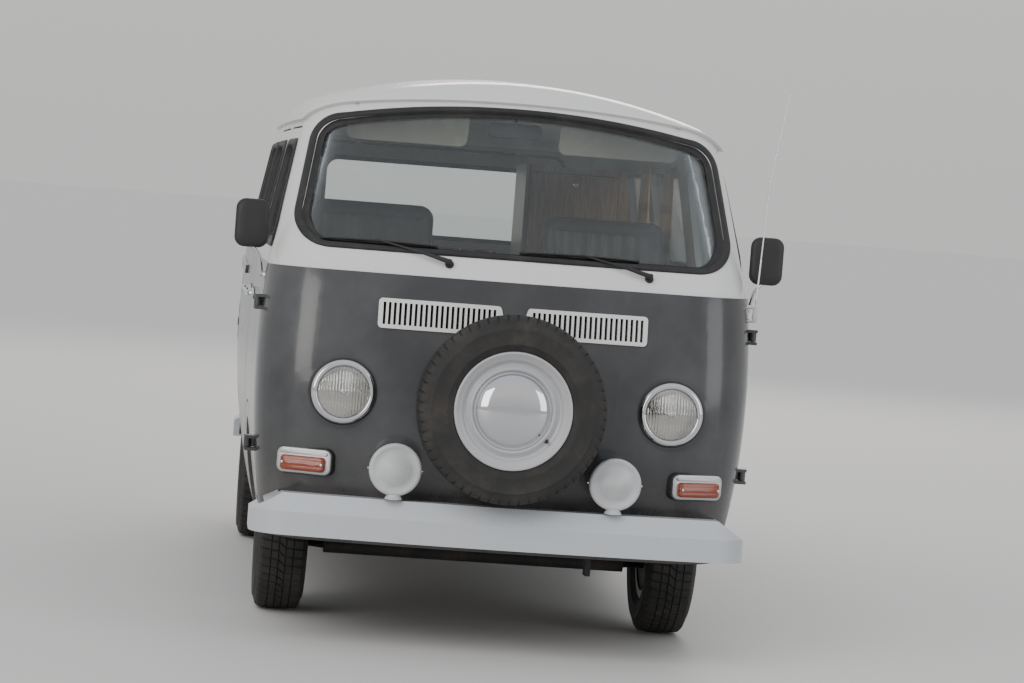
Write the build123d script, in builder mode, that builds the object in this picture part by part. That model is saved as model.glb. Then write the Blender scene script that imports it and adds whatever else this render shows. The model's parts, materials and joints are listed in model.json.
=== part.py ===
from build123d import *
import os
from math import atan, cos, degrees, radians, sin, sqrt

os.makedirs("parts", exist_ok=True)

# Lengths are millimetres. The nose points along -Y, the van's left side is +X, and the tyres stand on Z = 0.
# Y is measured from the middle of the overall length, and Z from the ground.

# Running gear
TYRE_RADIUS = 315.0
TYRE_WIDTH = 176.0
RIM_RADIUS = 178.0
WHEELBASE = 2400.0
FRONT_TRACK = 1384.0
REAR_TRACK = 1426.0
KINGPIN_OFFSET = 82.0
AXLE_HEIGHT = TYRE_RADIUS

# Lengthwise layout
BODY_LENGTH = 4180.0
SPARE_GAP = 34.0
NOSE_TO_BUMPER = 130.0
TAIL_TO_BUMPER = 110.0
FRONT_OVERHANG = 1050.0
OVERALL = SPARE_GAP + TYRE_WIDTH + BODY_LENGTH + TAIL_TO_BUMPER
NOSE = -OVERALL / 2 + SPARE_GAP + TYRE_WIDTH
TAIL = NOSE + BODY_LENGTH
FRONT_AXLE = NOSE - NOSE_TO_BUMPER + FRONT_OVERHANG
REAR_AXLE = FRONT_AXLE + WHEELBASE
FAR = 2600.0

# Body shell
SILL = 340.0
BELT = 1250.0
GUTTER = 1750.0
ROOF_TOP = 1968.0
WALL = 45.0
SIDE_BOW = 18.0
ROOF_EDGE = 145.0
CROWN_RADIUS = 2000.0
CROWN_LONG_RADIUS = 30000.0
DOOR_GAP = 7.0
FIT_GAP = 0.3

# Plan sections of the shell. Columns: height, half width, setback of the nose, setback of the tail,
# front corner radius, rear corner radius, bow of the front, bow of the rear.
LOWER_SECTIONS = [
    (SILL, 792, 48, 45, 200, 190, 60, 45),
    (620, 842, 8, 12, 220, 200, 70, 50),
    (930, 858, 0, 0, 230, 205, 75, 52),
    (BELT, 844, 50, 15, 225, 205, 80, 55),
]
UPPER_SECTIONS = [
    (BELT, 837, 58, 22, 205, 190, 88, 55),
    (1500, 793, 196, 75, 195, 180, 92, 55),
    (GUTTER, 747, 344, 128, 190, 165, 100, 55),
    (2000, 700, 500, 200, 185, 155, 110, 55),
]

# Openings. Distances along the van are behind the nose.
ARCH_RADIUS = 365.0
DOOR_ARCH_MARGIN = 55.0
CAB_DOOR_FRONT, CAB_DOOR_REAR = NOSE + 270, NOSE + 1240
CAB_DOOR_TOP_FRONT = NOSE + 540
CAB_DOOR_BOTTOM = 440.0
DOOR_TOP = 1728.0
SLIDE_FRONT, SLIDE_REAR = NOSE + 1345, NOSE + 2300
SLIDE_BOTTOM = 395.0
WINDOW_BOTTOM, WINDOW_TOP = 1312.0, 1670.0
WINDOW_RADIUS = 55.0
# Columns: front edge and rear edge of each fixed side window, behind the nose.
SIDE_WINDOWS = [(1420, 2222), (2372, 3080), (3200, 3870)]
SCREEN_BOTTOM, SCREEN_TOP, SCREEN_SHOULDER = 1326.0, 1820.0, 1744.0
SCREEN_FOOT_HALF, SCREEN_SHOULDER_HALF = 742.0, 676.0
SCREEN_RADIUS = 100.0
TAILGATE_BOTTOM, TAILGATE_FOOT_HALF, TAILGATE_TOP_HALF = 985.0, 606.0, 572.0
TAILGATE_RADIUS = 60.0
TAIL_WINDOW_HALF, TAIL_WINDOW_RADIUS = 515.0, 70.0
LID_BOTTOM, LID_TOP, LID_HALF, LID_RADIUS = 575.0, 930.0, 470.0, 80.0
REAR_PANEL_HALF = 665.0
GLASS_INSET, GLASS_THICK = 16.0, 6.0

# Inside
FLOOR_TOP, FLOOR_THICK = 440.0, 40.0
SEAT_BOX_FRONT, SEAT_BOX_REAR, SEAT_BOX_TOP = NOSE + 500, NOSE + 1320, 800.0
BULKHEAD = NOSE + 3370
DECK_TOP, PLATE = 930.0, 15.0
HOUSING_RADIUS = 380.0
FRONT_HOUSING_INNER, REAR_HOUSING_INNER = 425.0, 560.0
RAIL_X, RAIL_WIDTH, RAIL_BOTTOM = 330.0, 80.0, 330.0
JACK_FRONT, JACK_REAR, JACK_FACE = NOSE + 1400, NOSE + 2650, 318.0
TOW_Y, TOW_Z, TOW_BORE = NOSE + 195, 300.0, 14.0
FRONT_IRON_X, REAR_IRON_X = RAIL_X, 430.0


def block(x0, x1, y0, y1, z0, z1):
    """A box between two corners."""
    with BuildPart() as solid:
        with Locations(((x0 + x1) / 2, (y0 + y1) / 2, (z0 + z1) / 2)):
            Box(x1 - x0, y1 - y0, z1 - z0)
    return solid.part


def rod_x(radius, x0, x1, y, z):
    """A round bar along X."""
    with BuildPart() as solid:
        with BuildSketch(Plane.YZ.offset(x0)):
            with Locations((y, z)):
                Circle(radius)
        extrude(amount=x1 - x0)
    return solid.part


def rod_y(radius, y0, y1, x, z):
    """A round bar along Y."""
    with BuildPart() as solid:
        with BuildSketch(Plane.XZ.offset(-y1)):
            with Locations((x, z)):
                Circle(radius)
        extrude(amount=y1 - y0)
    return solid.part


def rod_z(radius, z0, z1, x, y):
    """A round bar along Z."""
    with BuildPart() as solid:
        with BuildSketch(Plane.XY.offset(z0)):
            with Locations((x, y)):
                Circle(radius)
        extrude(amount=z1 - z0)
    return solid.part


def rod_between(start, end, radius):
    """A round bar from one point to another."""
    path = Vector(*end) - Vector(*start)
    with BuildPart() as solid:
        with BuildSketch(Plane(origin=start, z_dir=tuple(path))):
            Circle(radius)
        extrude(amount=path.length)
    return solid.part


def side_outline(points, radius=0.0, shrink=0.0):
    """A polygon of (y, z) points seen from the side, its corners rounded, then shrunk."""
    with BuildSketch(Plane.YZ) as outline:
        with BuildLine():
            Polyline(*points, close=True)
        make_face()
        if radius:
            fillet(outline.vertices(), radius)
        if shrink:
            offset(amount=-shrink, mode=Mode.REPLACE)
    return outline.sketch


def front_outline(points, radius=0.0, shrink=0.0):
    """A polygon of (x, z) points seen from the front, its corners rounded, then shrunk."""
    with BuildSketch(Plane.XZ) as outline:
        with BuildLine():
            Polyline(*points, close=True)
        make_face()
        if radius:
            fillet(outline.vertices(), radius)
        if shrink:
            offset(amount=-shrink, mode=Mode.REPLACE)
    return outline.sketch


def through_x(outline, x0, x1):
    """A side outline carried across the van from x0 to x1."""
    with BuildPart() as solid:
        extrude(outline.moved(Location((x0, 0, 0))), amount=x1 - x0, dir=(1, 0, 0))
    return solid.part


def through_y(outline, y0, y1):
    """A front outline carried along the van from y0 to y1."""
    with BuildPart() as solid:
        extrude(outline.moved(Location((0, y0, 0))), amount=y1 - y0, dir=(0, 1, 0))
    return solid.part


def rectangle(a0, a1, b0, b1):
    """Four corner points."""
    return [(a0, b0), (a1, b0), (a1, b1), (a0, b1)]


def walls(sections, inset, extra_depth=0.0):
    """The body's walls as a solid through its plan sections, moved inwards by inset."""
    with BuildPart() as solid:
        for height, half, nose, tail, front_radius, rear_radius, front_bow, rear_bow in sections:
            at = height - extra_depth if height == sections[0][0] else height
            side = half - inset
            corner = side - SIDE_BOW
            front, rear = NOSE + nose + inset, TAIL - tail - inset
            middle = (front + rear) / 2
            with BuildSketch(Plane.XY.offset(at)) as plan:
                with BuildLine():
                    ThreePointArc((-corner, front + front_bow), (0, front), (corner, front + front_bow))
                    ThreePointArc((corner, front + front_bow), (side, middle), (corner, rear - rear_bow))
                    ThreePointArc((corner, rear - rear_bow), (0, rear), (-corner, rear - rear_bow))
                    ThreePointArc((-corner, rear - rear_bow), (-side, middle), (-corner, front + front_bow))
                make_face()
                fillet(plan.vertices().sort_by(Axis.Y)[:2], front_radius - inset)
                fillet(plan.vertices().sort_by(Axis.Y)[-2:], rear_radius - inset)
        loft()
    return solid.part


def crown(inset):
    """Everything under the roof's crown, which curves across the van and a little along it."""
    top, radius, reach = ROOF_TOP - inset, CROWN_RADIUS - inset, 1000.0
    drop = radius - sqrt(radius**2 - reach**2)
    hinge = Axis((0, 0, top - CROWN_LONG_RADIUS), (1, 0, 0))
    half_turn = 5.0
    with BuildPart() as solid:
        with BuildSketch(Plane.XZ):
            with BuildLine():
                ThreePointArc((-reach, top - drop), (0, top), (reach, top - drop))
                Polyline((reach, top - drop), (reach, 800), (-reach, 800), (-reach, top - drop))
            make_face()
        revolve(axis=hinge, revolution_arc=2 * half_turn)
    return solid.part.rotate(hinge, -half_turn)


def body_form(inset, extra_depth=0.0):
    """The whole body as one solid, moved inwards by inset."""
    with BuildPart() as upper:
        add(walls(UPPER_SECTIONS, inset))
        add(crown(inset), mode=Mode.INTERSECT)
        fillet(upper.faces().sort_by(Axis.Z)[-1].edges(), ROOF_EDGE - inset)
    with BuildPart() as form:
        add(upper.part)
        add(walls(LOWER_SECTIONS, inset, extra_depth))
    return form.part


def between(height, column):
    """A column of the section table at a height between its rows."""
    rows = LOWER_SECTIONS if height < BELT else UPPER_SECTIONS
    for low, high in zip(rows, rows[1:]):
        if height <= high[0]:
            return low[column] + (high[column] - low[column]) * (height - low[0]) / (high[0] - low[0])
    return rows[-1][column]


def side_skin(y, z):
    """How far out the body's side is, between its corners."""
    reach = (y - (NOSE + TAIL) / 2) / (BODY_LENGTH / 2 - between(z, 6))
    return between(z, 1) - SIDE_BOW * reach**2


def nose_skin(x, z):
    """Where the nose's surface is along Y, between its corners."""
    return NOSE + between(z, 2) + between(z, 6) * (x / between(z, 1)) ** 2


def tail_skin(x, z):
    """Where the tail's surface is along Y, between its corners."""
    return TAIL - between(z, 3) - between(z, 7) * (x / between(z, 1)) ** 2


def keep(name, piece):
    """Labels a finished piece and writes it."""
    piece.part.label = name
    export_step(piece.part, f"parts/{name}.step")


def keep_mirrored(name, piece):
    """Writes the other side's copy of a piece."""
    with BuildPart() as twin:
        mirror(piece.part, about=Plane.YZ)
    keep(name, twin)
    return twin


# Forms that the panels are cut from
skin = body_form(0)
cavity = body_form(WALL, extra_depth=60)
skin_clear = body_form(-FIT_GAP)
inside_clear = body_form(WALL + FIT_GAP, extra_depth=60)
shell = skin - cavity
glass_band = walls(UPPER_SECTIONS, GLASS_INSET) - walls(UPPER_SECTIONS, GLASS_INSET + GLASS_THICK, 10)

# The roof's joint is level along the sides and climbs over the windscreen.
JOINT_TURN, JOINT_TOP = NOSE + 540, NOSE + 300
JOINT_RISE = GUTTER + (JOINT_TURN - JOINT_TOP) * 0.75
below_joint = through_x(
    side_outline(
        [
            (-FAR, 200),
            (FAR, 200),
            (FAR, GUTTER),
            (JOINT_TURN, GUTTER),
            (JOINT_TOP, JOINT_RISE),
            (-FAR, JOINT_RISE),
        ]
    ),
    -FAR,
    FAR,
)
body = shell & below_joint

# Cutters for the openings
def cab_door_outline(shrink=0.0):
    """The cab door seen from the side: a raked front post and a foot cut round the front wheel."""
    with BuildSketch(Plane.YZ) as outline:
        with BuildLine():
            Polyline(
                (CAB_DOOR_FRONT, CAB_DOOR_BOTTOM),
                (CAB_DOOR_REAR, CAB_DOOR_BOTTOM),
                (CAB_DOOR_REAR, DOOR_TOP),
                (CAB_DOOR_TOP_FRONT, DOOR_TOP),
                (CAB_DOOR_FRONT, BELT),
                close=True,
            )
        make_face()
        fillet(outline.vertices(), 45)
        if shrink:
            offset(amount=-shrink, mode=Mode.REPLACE)
        with Locations((FRONT_AXLE, AXLE_HEIGHT)):
            Circle(ARCH_RADIUS + DOOR_ARCH_MARGIN + shrink, mode=Mode.SUBTRACT)
    return outline.sketch


slide_corners = rectangle(SLIDE_FRONT, SLIDE_REAR, SLIDE_BOTTOM, DOOR_TOP)
slide_hole = side_outline(slide_corners, 45)
slide_face = side_outline(slide_corners, 45, DOOR_GAP)
cab_window_corners = [
    (CAB_DOOR_FRONT + 66, WINDOW_BOTTOM),
    (CAB_DOOR_REAR - 62, WINDOW_BOTTOM),
    (CAB_DOOR_REAR - 62, WINDOW_TOP),
    (CAB_DOOR_TOP_FRONT + 40, WINDOW_TOP),
]
side_window_corners = [
    rectangle(NOSE + front, NOSE + rear, WINDOW_BOTTOM, WINDOW_TOP) for front, rear in SIDE_WINDOWS
]
tail_window_corners = rectangle(-TAIL_WINDOW_HALF, TAIL_WINDOW_HALF, WINDOW_BOTTOM, WINDOW_TOP - 8)
tailgate_corners = [
    (-TAILGATE_FOOT_HALF, TAILGATE_BOTTOM),
    (TAILGATE_FOOT_HALF, TAILGATE_BOTTOM),
    (TAILGATE_TOP_HALF, DOOR_TOP),
    (-TAILGATE_TOP_HALF, DOOR_TOP),
]
lid_corners = rectangle(-LID_HALF, LID_HALF, LID_BOTTOM, LID_TOP)


def windscreen_outline(shrink=0.0):
    """The windscreen seen from the front: a straight foot, leaning sides and an arched top."""
    with BuildSketch(Plane.XZ) as outline:
        with BuildLine():
            Polyline(
                (-SCREEN_SHOULDER_HALF, SCREEN_SHOULDER),
                (-SCREEN_FOOT_HALF, SCREEN_BOTTOM),
                (SCREEN_FOOT_HALF, SCREEN_BOTTOM),
                (SCREEN_SHOULDER_HALF, SCREEN_SHOULDER),
            )
            ThreePointArc(
                (SCREEN_SHOULDER_HALF, SCREEN_SHOULDER),
                (0, SCREEN_TOP),
                (-SCREEN_SHOULDER_HALF, SCREEN_SHOULDER),
            )
        make_face()
        fillet(outline.vertices(), SCREEN_RADIUS)
        if shrink:
            offset(amount=-shrink, mode=Mode.REPLACE)
    return outline.sketch


INNER_X = 560.0
REAR_WALL = NOSE + 3800
FRONT_WALL = NOSE + 700


# Exposed hinges: two ears with a pin on the body, and a barrel on the moving panel between them.
PIN_RADIUS, BARREL_RADIUS, BARREL_HALF, EAR_THICK = 6.0, 13.0, 15.0, 10.0
EAR_GAP = 0.8


def hinge_ears(plane, reach, depth):
    """Pin and ears along the plane's Z. They run along the plane's -Y to the body, and its X points out."""
    with BuildPart() as ears:
        with BuildSketch(plane.offset(-BARREL_HALF - EAR_GAP - EAR_THICK)):
            Circle(PIN_RADIUS)
        extrude(amount=2 * (BARREL_HALF + EAR_GAP + EAR_THICK))
        for start in (-BARREL_HALF - EAR_GAP - EAR_THICK, BARREL_HALF + EAR_GAP):
            with BuildSketch(plane.offset(start)):
                Circle(BARREL_RADIUS)
                with Locations((BARREL_RADIUS - depth / 2 - 4, -reach / 2)):
                    Rectangle(depth, reach)
            extrude(amount=EAR_THICK)
    return ears.part


def hinge_barrel(plane, reach, depth):
    """The bored barrel and its leaf, which runs along the plane's +Y to the moving panel."""
    with BuildPart() as barrel:
        with BuildSketch(plane.offset(-BARREL_HALF)):
            Circle(BARREL_RADIUS)
            with Locations((BARREL_RADIUS - depth / 2 - 4, reach / 2)):
                Rectangle(depth, reach)
            Circle(PIN_RADIUS + FIT_GAP, mode=Mode.SUBTRACT)
        extrude(amount=2 * BARREL_HALF)
    return barrel.part


# The cab doors' pins stand just outside the skin at the door's front edge.
CAB_HINGE_Y = CAB_DOOR_FRONT + DOOR_GAP / 2
CAB_HINGE_X = side_skin(CAB_HINGE_Y, 930) + 8
cab_hinges = [
    Plane(origin=(CAB_HINGE_X, CAB_HINGE_Y, z), x_dir=(1, 0, 0), z_dir=(0, 0, 1)) for z in (640, 1120)
]
# The tailgate's and engine lid's pins lie along X, just outside the skin at the panel's top edge.
TAILGATE_HINGE_X, LID_HINGE_X = 360.0, 230.0
TAILGATE_HINGE_Z, LID_HINGE_Z = DOOR_TOP - DOOR_GAP / 2, LID_TOP - DOOR_GAP / 2
TAILGATE_HINGE_Y = tail_skin(TAILGATE_HINGE_X, TAILGATE_HINGE_Z) + BARREL_RADIUS + 5
LID_HINGE_Y = tail_skin(LID_HINGE_X, LID_HINGE_Z) + BARREL_RADIUS + 5
tailgate_hinges = [
    Plane(origin=(x, TAILGATE_HINGE_Y, TAILGATE_HINGE_Z), x_dir=(0, 1, 0), z_dir=(-1, 0, 0))
    for x in (-TAILGATE_HINGE_X, TAILGATE_HINGE_X)
]
lid_hinges = [
    Plane(origin=(x, LID_HINGE_Y, LID_HINGE_Z), x_dir=(0, 1, 0), z_dir=(-1, 0, 0))
    for x in (-LID_HINGE_X, LID_HINGE_X)
]

# Nose lamps
HEADLAMP_X, HEADLAMP_Z, HEADLAMP_RADIUS = 552.0, 849.0, 96.0
POD_RADIUS, POD_FACE = 118.0, NOSE + 18
FOG_X, FOG_Z, FOG_RADIUS, FOG_FACE = 367.0, 610.0, 86.0, NOSE - 104
INDICATOR_X, INDICATOR_Z = 660.0, 607.0
INDICATOR_WIDTH, INDICATOR_HEIGHT, INDICATOR_TURN = 196.0, 88.0, 23.0
GRILLE_HALF, GRILLE_BOTTOM, GRILLE_TOP = 454.0, 1070.0, 1170.0
GRILLE_PROUD, POCKET_DEPTH = 7.0, 26.0
GRILLE_NOTCH_FOOT, GRILLE_NOTCH_TOP = 20.0, 46.0
grille_corners = [
    (GRILLE_NOTCH_FOOT, GRILLE_BOTTOM),
    (GRILLE_HALF, GRILLE_BOTTOM),
    (GRILLE_HALF, GRILLE_TOP),
    (GRILLE_NOTCH_TOP, GRILLE_TOP),
]
grille_pocket = through_y(front_outline(grille_corners, 14), NOSE - 100, NOSE + 200) - walls(
    LOWER_SECTIONS, POCKET_DEPTH, 10
)
TAIL_LAMP_X, TAIL_LAMP_Z = 720.0, 786.0

# The spare wheel's carrier
SPARE_Z = 836.0
CARRIER_RADIUS = 105.0

# Nose panel, with the windscreen frame and the lamps' raised rings
nose_zone = through_x(
    side_outline(
        [
            (-FAR, 200),
            (CAB_DOOR_FRONT, 200),
            (CAB_DOOR_FRONT, BELT),
            (CAB_DOOR_TOP_FRONT, DOOR_TOP),
            (JOINT_TURN, GUTTER),
            (JOINT_TURN, FAR),
            (-FAR, FAR),
        ]
    ),
    -FAR,
    FAR,
)
nose_lamp_pods = [rod_y(POD_RADIUS, POD_FACE, NOSE + 120, x, HEADLAMP_Z) for x in (-HEADLAMP_X, HEADLAMP_X)]
nose_holes = [rod_y(POD_RADIUS - 7, NOSE - 60, POD_FACE, x, HEADLAMP_Z) for x in (-HEADLAMP_X, HEADLAMP_X)]
nose_holes += [
    rod_y(HEADLAMP_RADIUS + FIT_GAP, POD_FACE - 50, NOSE + 220, x, HEADLAMP_Z)
    for x in (-HEADLAMP_X, HEADLAMP_X)
]
nose_holes += [grille_pocket, grille_pocket.mirror(Plane.YZ)]
nose_holes += [through_y(windscreen_outline(), NOSE - 100, FRONT_WALL)]
door_ears = [hinge_ears(plane, 46, 44) for plane in cab_hinges]
with BuildPart() as nose_panel:
    add(body)
    add(nose_zone, mode=Mode.INTERSECT)
    add([pod - cavity for pod in nose_lamp_pods])
    add(nose_holes, mode=Mode.SUBTRACT)
    add(door_ears + [ears.mirror(Plane.YZ) for ears in door_ears])
keep("nose_panel", nose_panel)

# Roof
with BuildPart() as roof_panel:
    add(shell)
    add(below_joint, mode=Mode.SUBTRACT)
keep("roof_panel", roof_panel)

# Rain gutter along the roof's joint
GUTTER_PROUD, GUTTER_HEIGHT = 15.0, 12.0
gutter_band = side_outline(
    [
        (FAR, GUTTER + 1),
        (JOINT_TURN, GUTTER + 1),
        (JOINT_TOP, JOINT_RISE + 1),
        (JOINT_TOP, JOINT_RISE + 1 + GUTTER_HEIGHT),
        (JOINT_TURN, GUTTER + 1 + GUTTER_HEIGHT),
        (FAR, GUTTER + 1 + GUTTER_HEIGHT),
    ]
)
with BuildPart() as gutter:
    add(body_form(-GUTTER_PROUD))
    add(through_x(gutter_band, -FAR, FAR), mode=Mode.INTERSECT)
    add(skin_clear, mode=Mode.SUBTRACT)
keep("gutter", gutter)

# Body sides, with wheel arches, sills and rear corners
side_zone = through_x(
    side_outline(
        [
            (CAB_DOOR_FRONT, 200),
            (FAR, 200),
            (FAR, GUTTER),
            (JOINT_TURN, GUTTER),
            (CAB_DOOR_TOP_FRONT, DOOR_TOP),
            (CAB_DOOR_FRONT, BELT),
        ]
    ),
    0,
    FAR,
)


def body_side(windows, holes):
    """One body side as it stands on +X, with the given windows and door holes cut."""
    cuts = [through_x(side_outline(corners, WINDOW_RADIUS), INNER_X, FAR) for corners in windows]
    cuts += [through_x(hole, INNER_X, FAR) for hole in holes]
    cuts += [rod_x(ARCH_RADIUS, INNER_X, FAR, axle, AXLE_HEIGHT) for axle in (FRONT_AXLE, REAR_AXLE)]
    cuts += [block(0, REAR_PANEL_HALF, REAR_WALL, FAR, 200, FAR)]
    with BuildPart() as panel:
        add(body)
        add(side_zone, mode=Mode.INTERSECT)
        add(cuts, mode=Mode.SUBTRACT)
    return panel


side_panel_left = body_side(side_window_corners, [cab_door_outline()])
keep("side_panel_left", side_panel_left)
side_right_here = body_side(side_window_corners[1:], [cab_door_outline(), slide_hole])
side_panel_right = keep_mirrored("side_panel_right", side_right_here)

# Sliding door, on the van's right
with BuildPart() as slide_here:
    add(shell)
    add(through_x(slide_face, INNER_X, FAR), mode=Mode.INTERSECT)
    add(through_x(side_outline(side_window_corners[0], WINDOW_RADIUS), INNER_X, FAR), mode=Mode.SUBTRACT)
keep_mirrored("sliding_door", slide_here)

# Cab doors
with BuildPart() as cab_door:
    add(shell)
    add(through_x(cab_door_outline(DOOR_GAP), INNER_X, FAR), mode=Mode.INTERSECT)
    add(through_x(side_outline(cab_window_corners, WINDOW_RADIUS), INNER_X, FAR), mode=Mode.SUBTRACT)
    add([hinge_barrel(plane, 46, 44) for plane in cab_hinges])
keep("cab_door_left", cab_door)
keep_mirrored("cab_door_right", cab_door)

# Rear panel, round the tailgate and the engine lid
rear_holes = [
    through_y(front_outline(tailgate_corners, TAILGATE_RADIUS), REAR_WALL, FAR),
    through_y(front_outline(lid_corners, LID_RADIUS), REAR_WALL, FAR),
]
with BuildPart() as rear_panel:
    add(body)
    add(block(-REAR_PANEL_HALF, REAR_PANEL_HALF, REAR_WALL, FAR, 200, FAR), mode=Mode.INTERSECT)
    add(rear_holes, mode=Mode.SUBTRACT)
    add([hinge_ears(plane, 24, 48) for plane in tailgate_hinges])
    add([hinge_ears(plane, 30, 44) for plane in lid_hinges])
keep("rear_panel", rear_panel)

tailgate_face = front_outline(tailgate_corners, TAILGATE_RADIUS, DOOR_GAP)
tail_window = front_outline(tail_window_corners, TAIL_WINDOW_RADIUS)
with BuildPart() as tailgate:
    add(shell)
    add(through_y(tailgate_face, REAR_WALL, FAR), mode=Mode.INTERSECT)
    add(through_y(tail_window, REAR_WALL, FAR), mode=Mode.SUBTRACT)
    add([hinge_barrel(plane, 50, 48) for plane in tailgate_hinges])
keep("tailgate", tailgate)

lid_face = front_outline(lid_corners, LID_RADIUS, DOOR_GAP)
with BuildPart() as engine_lid:
    add(shell)
    add(through_y(lid_face, REAR_WALL, FAR), mode=Mode.INTERSECT)
    add([hinge_barrel(plane, 46, 44) for plane in lid_hinges])
keep("engine_lid", engine_lid)


# Glass, set back in each opening
def pane(prism):
    """The part of the glass band inside a prism."""
    with BuildPart() as glass:
        add(glass_band)
        add(prism, mode=Mode.INTERSECT)
    return glass


keep("windscreen", pane(through_y(windscreen_outline(FIT_GAP), NOSE - 100, FRONT_WALL)))
with BuildPart() as side_glass:
    for side in (1, -1):
        for corners in side_window_corners:
            outline = side_outline(corners, WINDOW_RADIUS, FIT_GAP)
            prism = through_x(outline, INNER_X, FAR)
            add(pane(prism if side == 1 else prism.mirror(Plane.YZ)).part)
keep("side_glass", side_glass)
cab_glass = pane(through_x(side_outline(cab_window_corners, WINDOW_RADIUS, FIT_GAP), INNER_X, FAR))
keep("cab_glass_left", cab_glass)
keep_mirrored("cab_glass_right", cab_glass)
tail_pane = front_outline(tail_window_corners, TAIL_WINDOW_RADIUS, FIT_GAP)
keep("tailgate_glass", pane(through_y(tail_pane, REAR_WALL, FAR)))


# Wheels: a dished steel disc with its brake drum and domed cap, and the tyre on it
AXLE_RADIUS, AXLE_CLEAR = 15.0, 0.1
DRUM_RADIUS = 120.0
CAP_RADIUS = 128.0
# Points are (distance from the wheel's centre plane, radius); positive is outboard.
RIM_PROFILE = [
    (-70, RIM_RADIUS + 17),
    (-70, RIM_RADIUS - 12),
    (12, RIM_RADIUS - 12),
    (12, DRUM_RADIUS),
    (-39, DRUM_RADIUS),
    (-39, AXLE_RADIUS + AXLE_CLEAR),
    (22, AXLE_RADIUS + AXLE_CLEAR),
    (22, CAP_RADIUS),
    (40, CAP_RADIUS + 3),
    (44, RIM_RADIUS - 9),
    (70, RIM_RADIUS - 6),
    (76, RIM_RADIUS + 17),
    (70, RIM_RADIUS + 17),
    (62, RIM_RADIUS),
    (-64, RIM_RADIUS),
]
TYRE_PROFILE = [
    (-62, RIM_RADIUS + FIT_GAP),
    (60, RIM_RADIUS + FIT_GAP),
    (68, RIM_RADIUS + 24),
    (TYRE_WIDTH / 2, TYRE_RADIUS * 0.79),
    (TYRE_WIDTH / 2 - 4, TYRE_RADIUS - 34),
    (TYRE_WIDTH / 2 - 17, TYRE_RADIUS - 7),
    (TYRE_WIDTH / 2 - 34, TYRE_RADIUS),
    (34 - TYRE_WIDTH / 2, TYRE_RADIUS),
    (17 - TYRE_WIDTH / 2, TYRE_RADIUS - 7),
    (4 - TYRE_WIDTH / 2, TYRE_RADIUS - 34),
    (-TYRE_WIDTH / 2, TYRE_RADIUS * 0.79),
    (-70, RIM_RADIUS + 24),
]
CAP_PROFILE = [
    (22 + FIT_GAP, 0),
    (22 + FIT_GAP, CAP_RADIUS - FIT_GAP),
    (42, CAP_RADIUS - 2),
    (56, CAP_RADIUS - 24),
    (66, CAP_RADIUS - 62),
    (70, 0),
]


def turned(profile):
    """A profile turned about the wheel's axle, which lies along X with outboard towards +X."""
    with BuildPart() as solid:
        with BuildSketch(Plane.XZ):
            with BuildLine():
                Polyline(*profile, close=True)
            make_face()
        revolve(axis=Axis.X)
    return solid.part


rim_form = turned(RIM_PROFILE)
cap_form = turned(CAP_PROFILE)
tyre_form = turned(TYRE_PROFILE)
# Columns: name, side, half track, axle position.
WHEELS = [
    ("front_left", 1, FRONT_TRACK / 2, FRONT_AXLE),
    ("front_right", -1, FRONT_TRACK / 2, FRONT_AXLE),
    ("rear_left", 1, REAR_TRACK / 2, REAR_AXLE),
    ("rear_right", -1, REAR_TRACK / 2, REAR_AXLE),
]
for name, side, half_track, axle in WHEELS:
    place = Location((side * half_track, axle, AXLE_HEIGHT), (0, 0, 0 if side == 1 else 180))
    with BuildPart() as rim:
        add(rim_form.moved(place))
        add(cap_form.moved(place))
    keep(f"rim_{name}", rim)
    with BuildPart() as tyre:
        add(tyre_form.moved(place))
    keep(f"tyre_{name}", tyre)

# Spare wheel, its face towards the front
SPARE_CENTRE = NOSE - SPARE_GAP - TYRE_WIDTH / 2
spare_place = Location((0, SPARE_CENTRE, SPARE_Z), (0, 0, -90))
SPARE_RIM_PROFILE = RIM_PROFILE[:3] + [(12, 0), (22, 0)] + RIM_PROFILE[7:]
with BuildPart() as spare_rim:
    add(turned(SPARE_RIM_PROFILE).moved(spare_place))
    add(cap_form.moved(spare_place))
keep("spare_rim", spare_rim)
with BuildPart() as spare_tyre:
    add(tyre_form.moved(spare_place))
keep("spare_tyre", spare_tyre)
with BuildPart() as spare_carrier:
    add(rod_y(CARRIER_RADIUS, SPARE_CENTRE - 12 + FIT_GAP, NOSE + 60, 0, SPARE_Z))
    add(rod_y(CARRIER_RADIUS - 14, SPARE_CENTRE + 4, NOSE + 60, 0, SPARE_Z), mode=Mode.SUBTRACT)
    add(skin_clear, mode=Mode.SUBTRACT)
keep("spare_carrier", spare_carrier)

# Front axle beam: two torsion tubes, trailing arms and the bosses that hold the kingpins
TUBE_RADIUS, TUBE_HALF = 26.0, 540.0
TUBE_Y = FRONT_AXLE - 80
TUBE_HEIGHTS = (AXLE_HEIGHT - 70, AXLE_HEIGHT + 50)
KINGPIN_X = FRONT_TRACK / 2 - KINGPIN_OFFSET
KINGPIN_PIN, BOSS_RADIUS, BOSS_HALF = 9.0, 19.0, 14.0
with BuildPart() as front_beam:
    for z in TUBE_HEIGHTS:
        add(rod_x(TUBE_RADIUS, -TUBE_HALF, TUBE_HALF, TUBE_Y, z))
        for side in (1, -1):
            kingpin_x = side * KINGPIN_X
            add(rod_between((side * (TUBE_HALF - 20), TUBE_Y, z), (kingpin_x, FRONT_AXLE, z), 13))
            add(rod_z(BOSS_RADIUS, z - BOSS_HALF, z + BOSS_HALF, kingpin_x, FRONT_AXLE))
            add(rod_z(KINGPIN_PIN + AXLE_CLEAR, z - 40, z + 40, kingpin_x, FRONT_AXLE), mode=Mode.SUBTRACT)
    for side in (1, -1):
        add(block(side * RAIL_X - 35, side * RAIL_X + 35, TUBE_Y - 14, TUBE_Y + 14, *TUBE_HEIGHTS))
keep("front_beam", front_beam)

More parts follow.
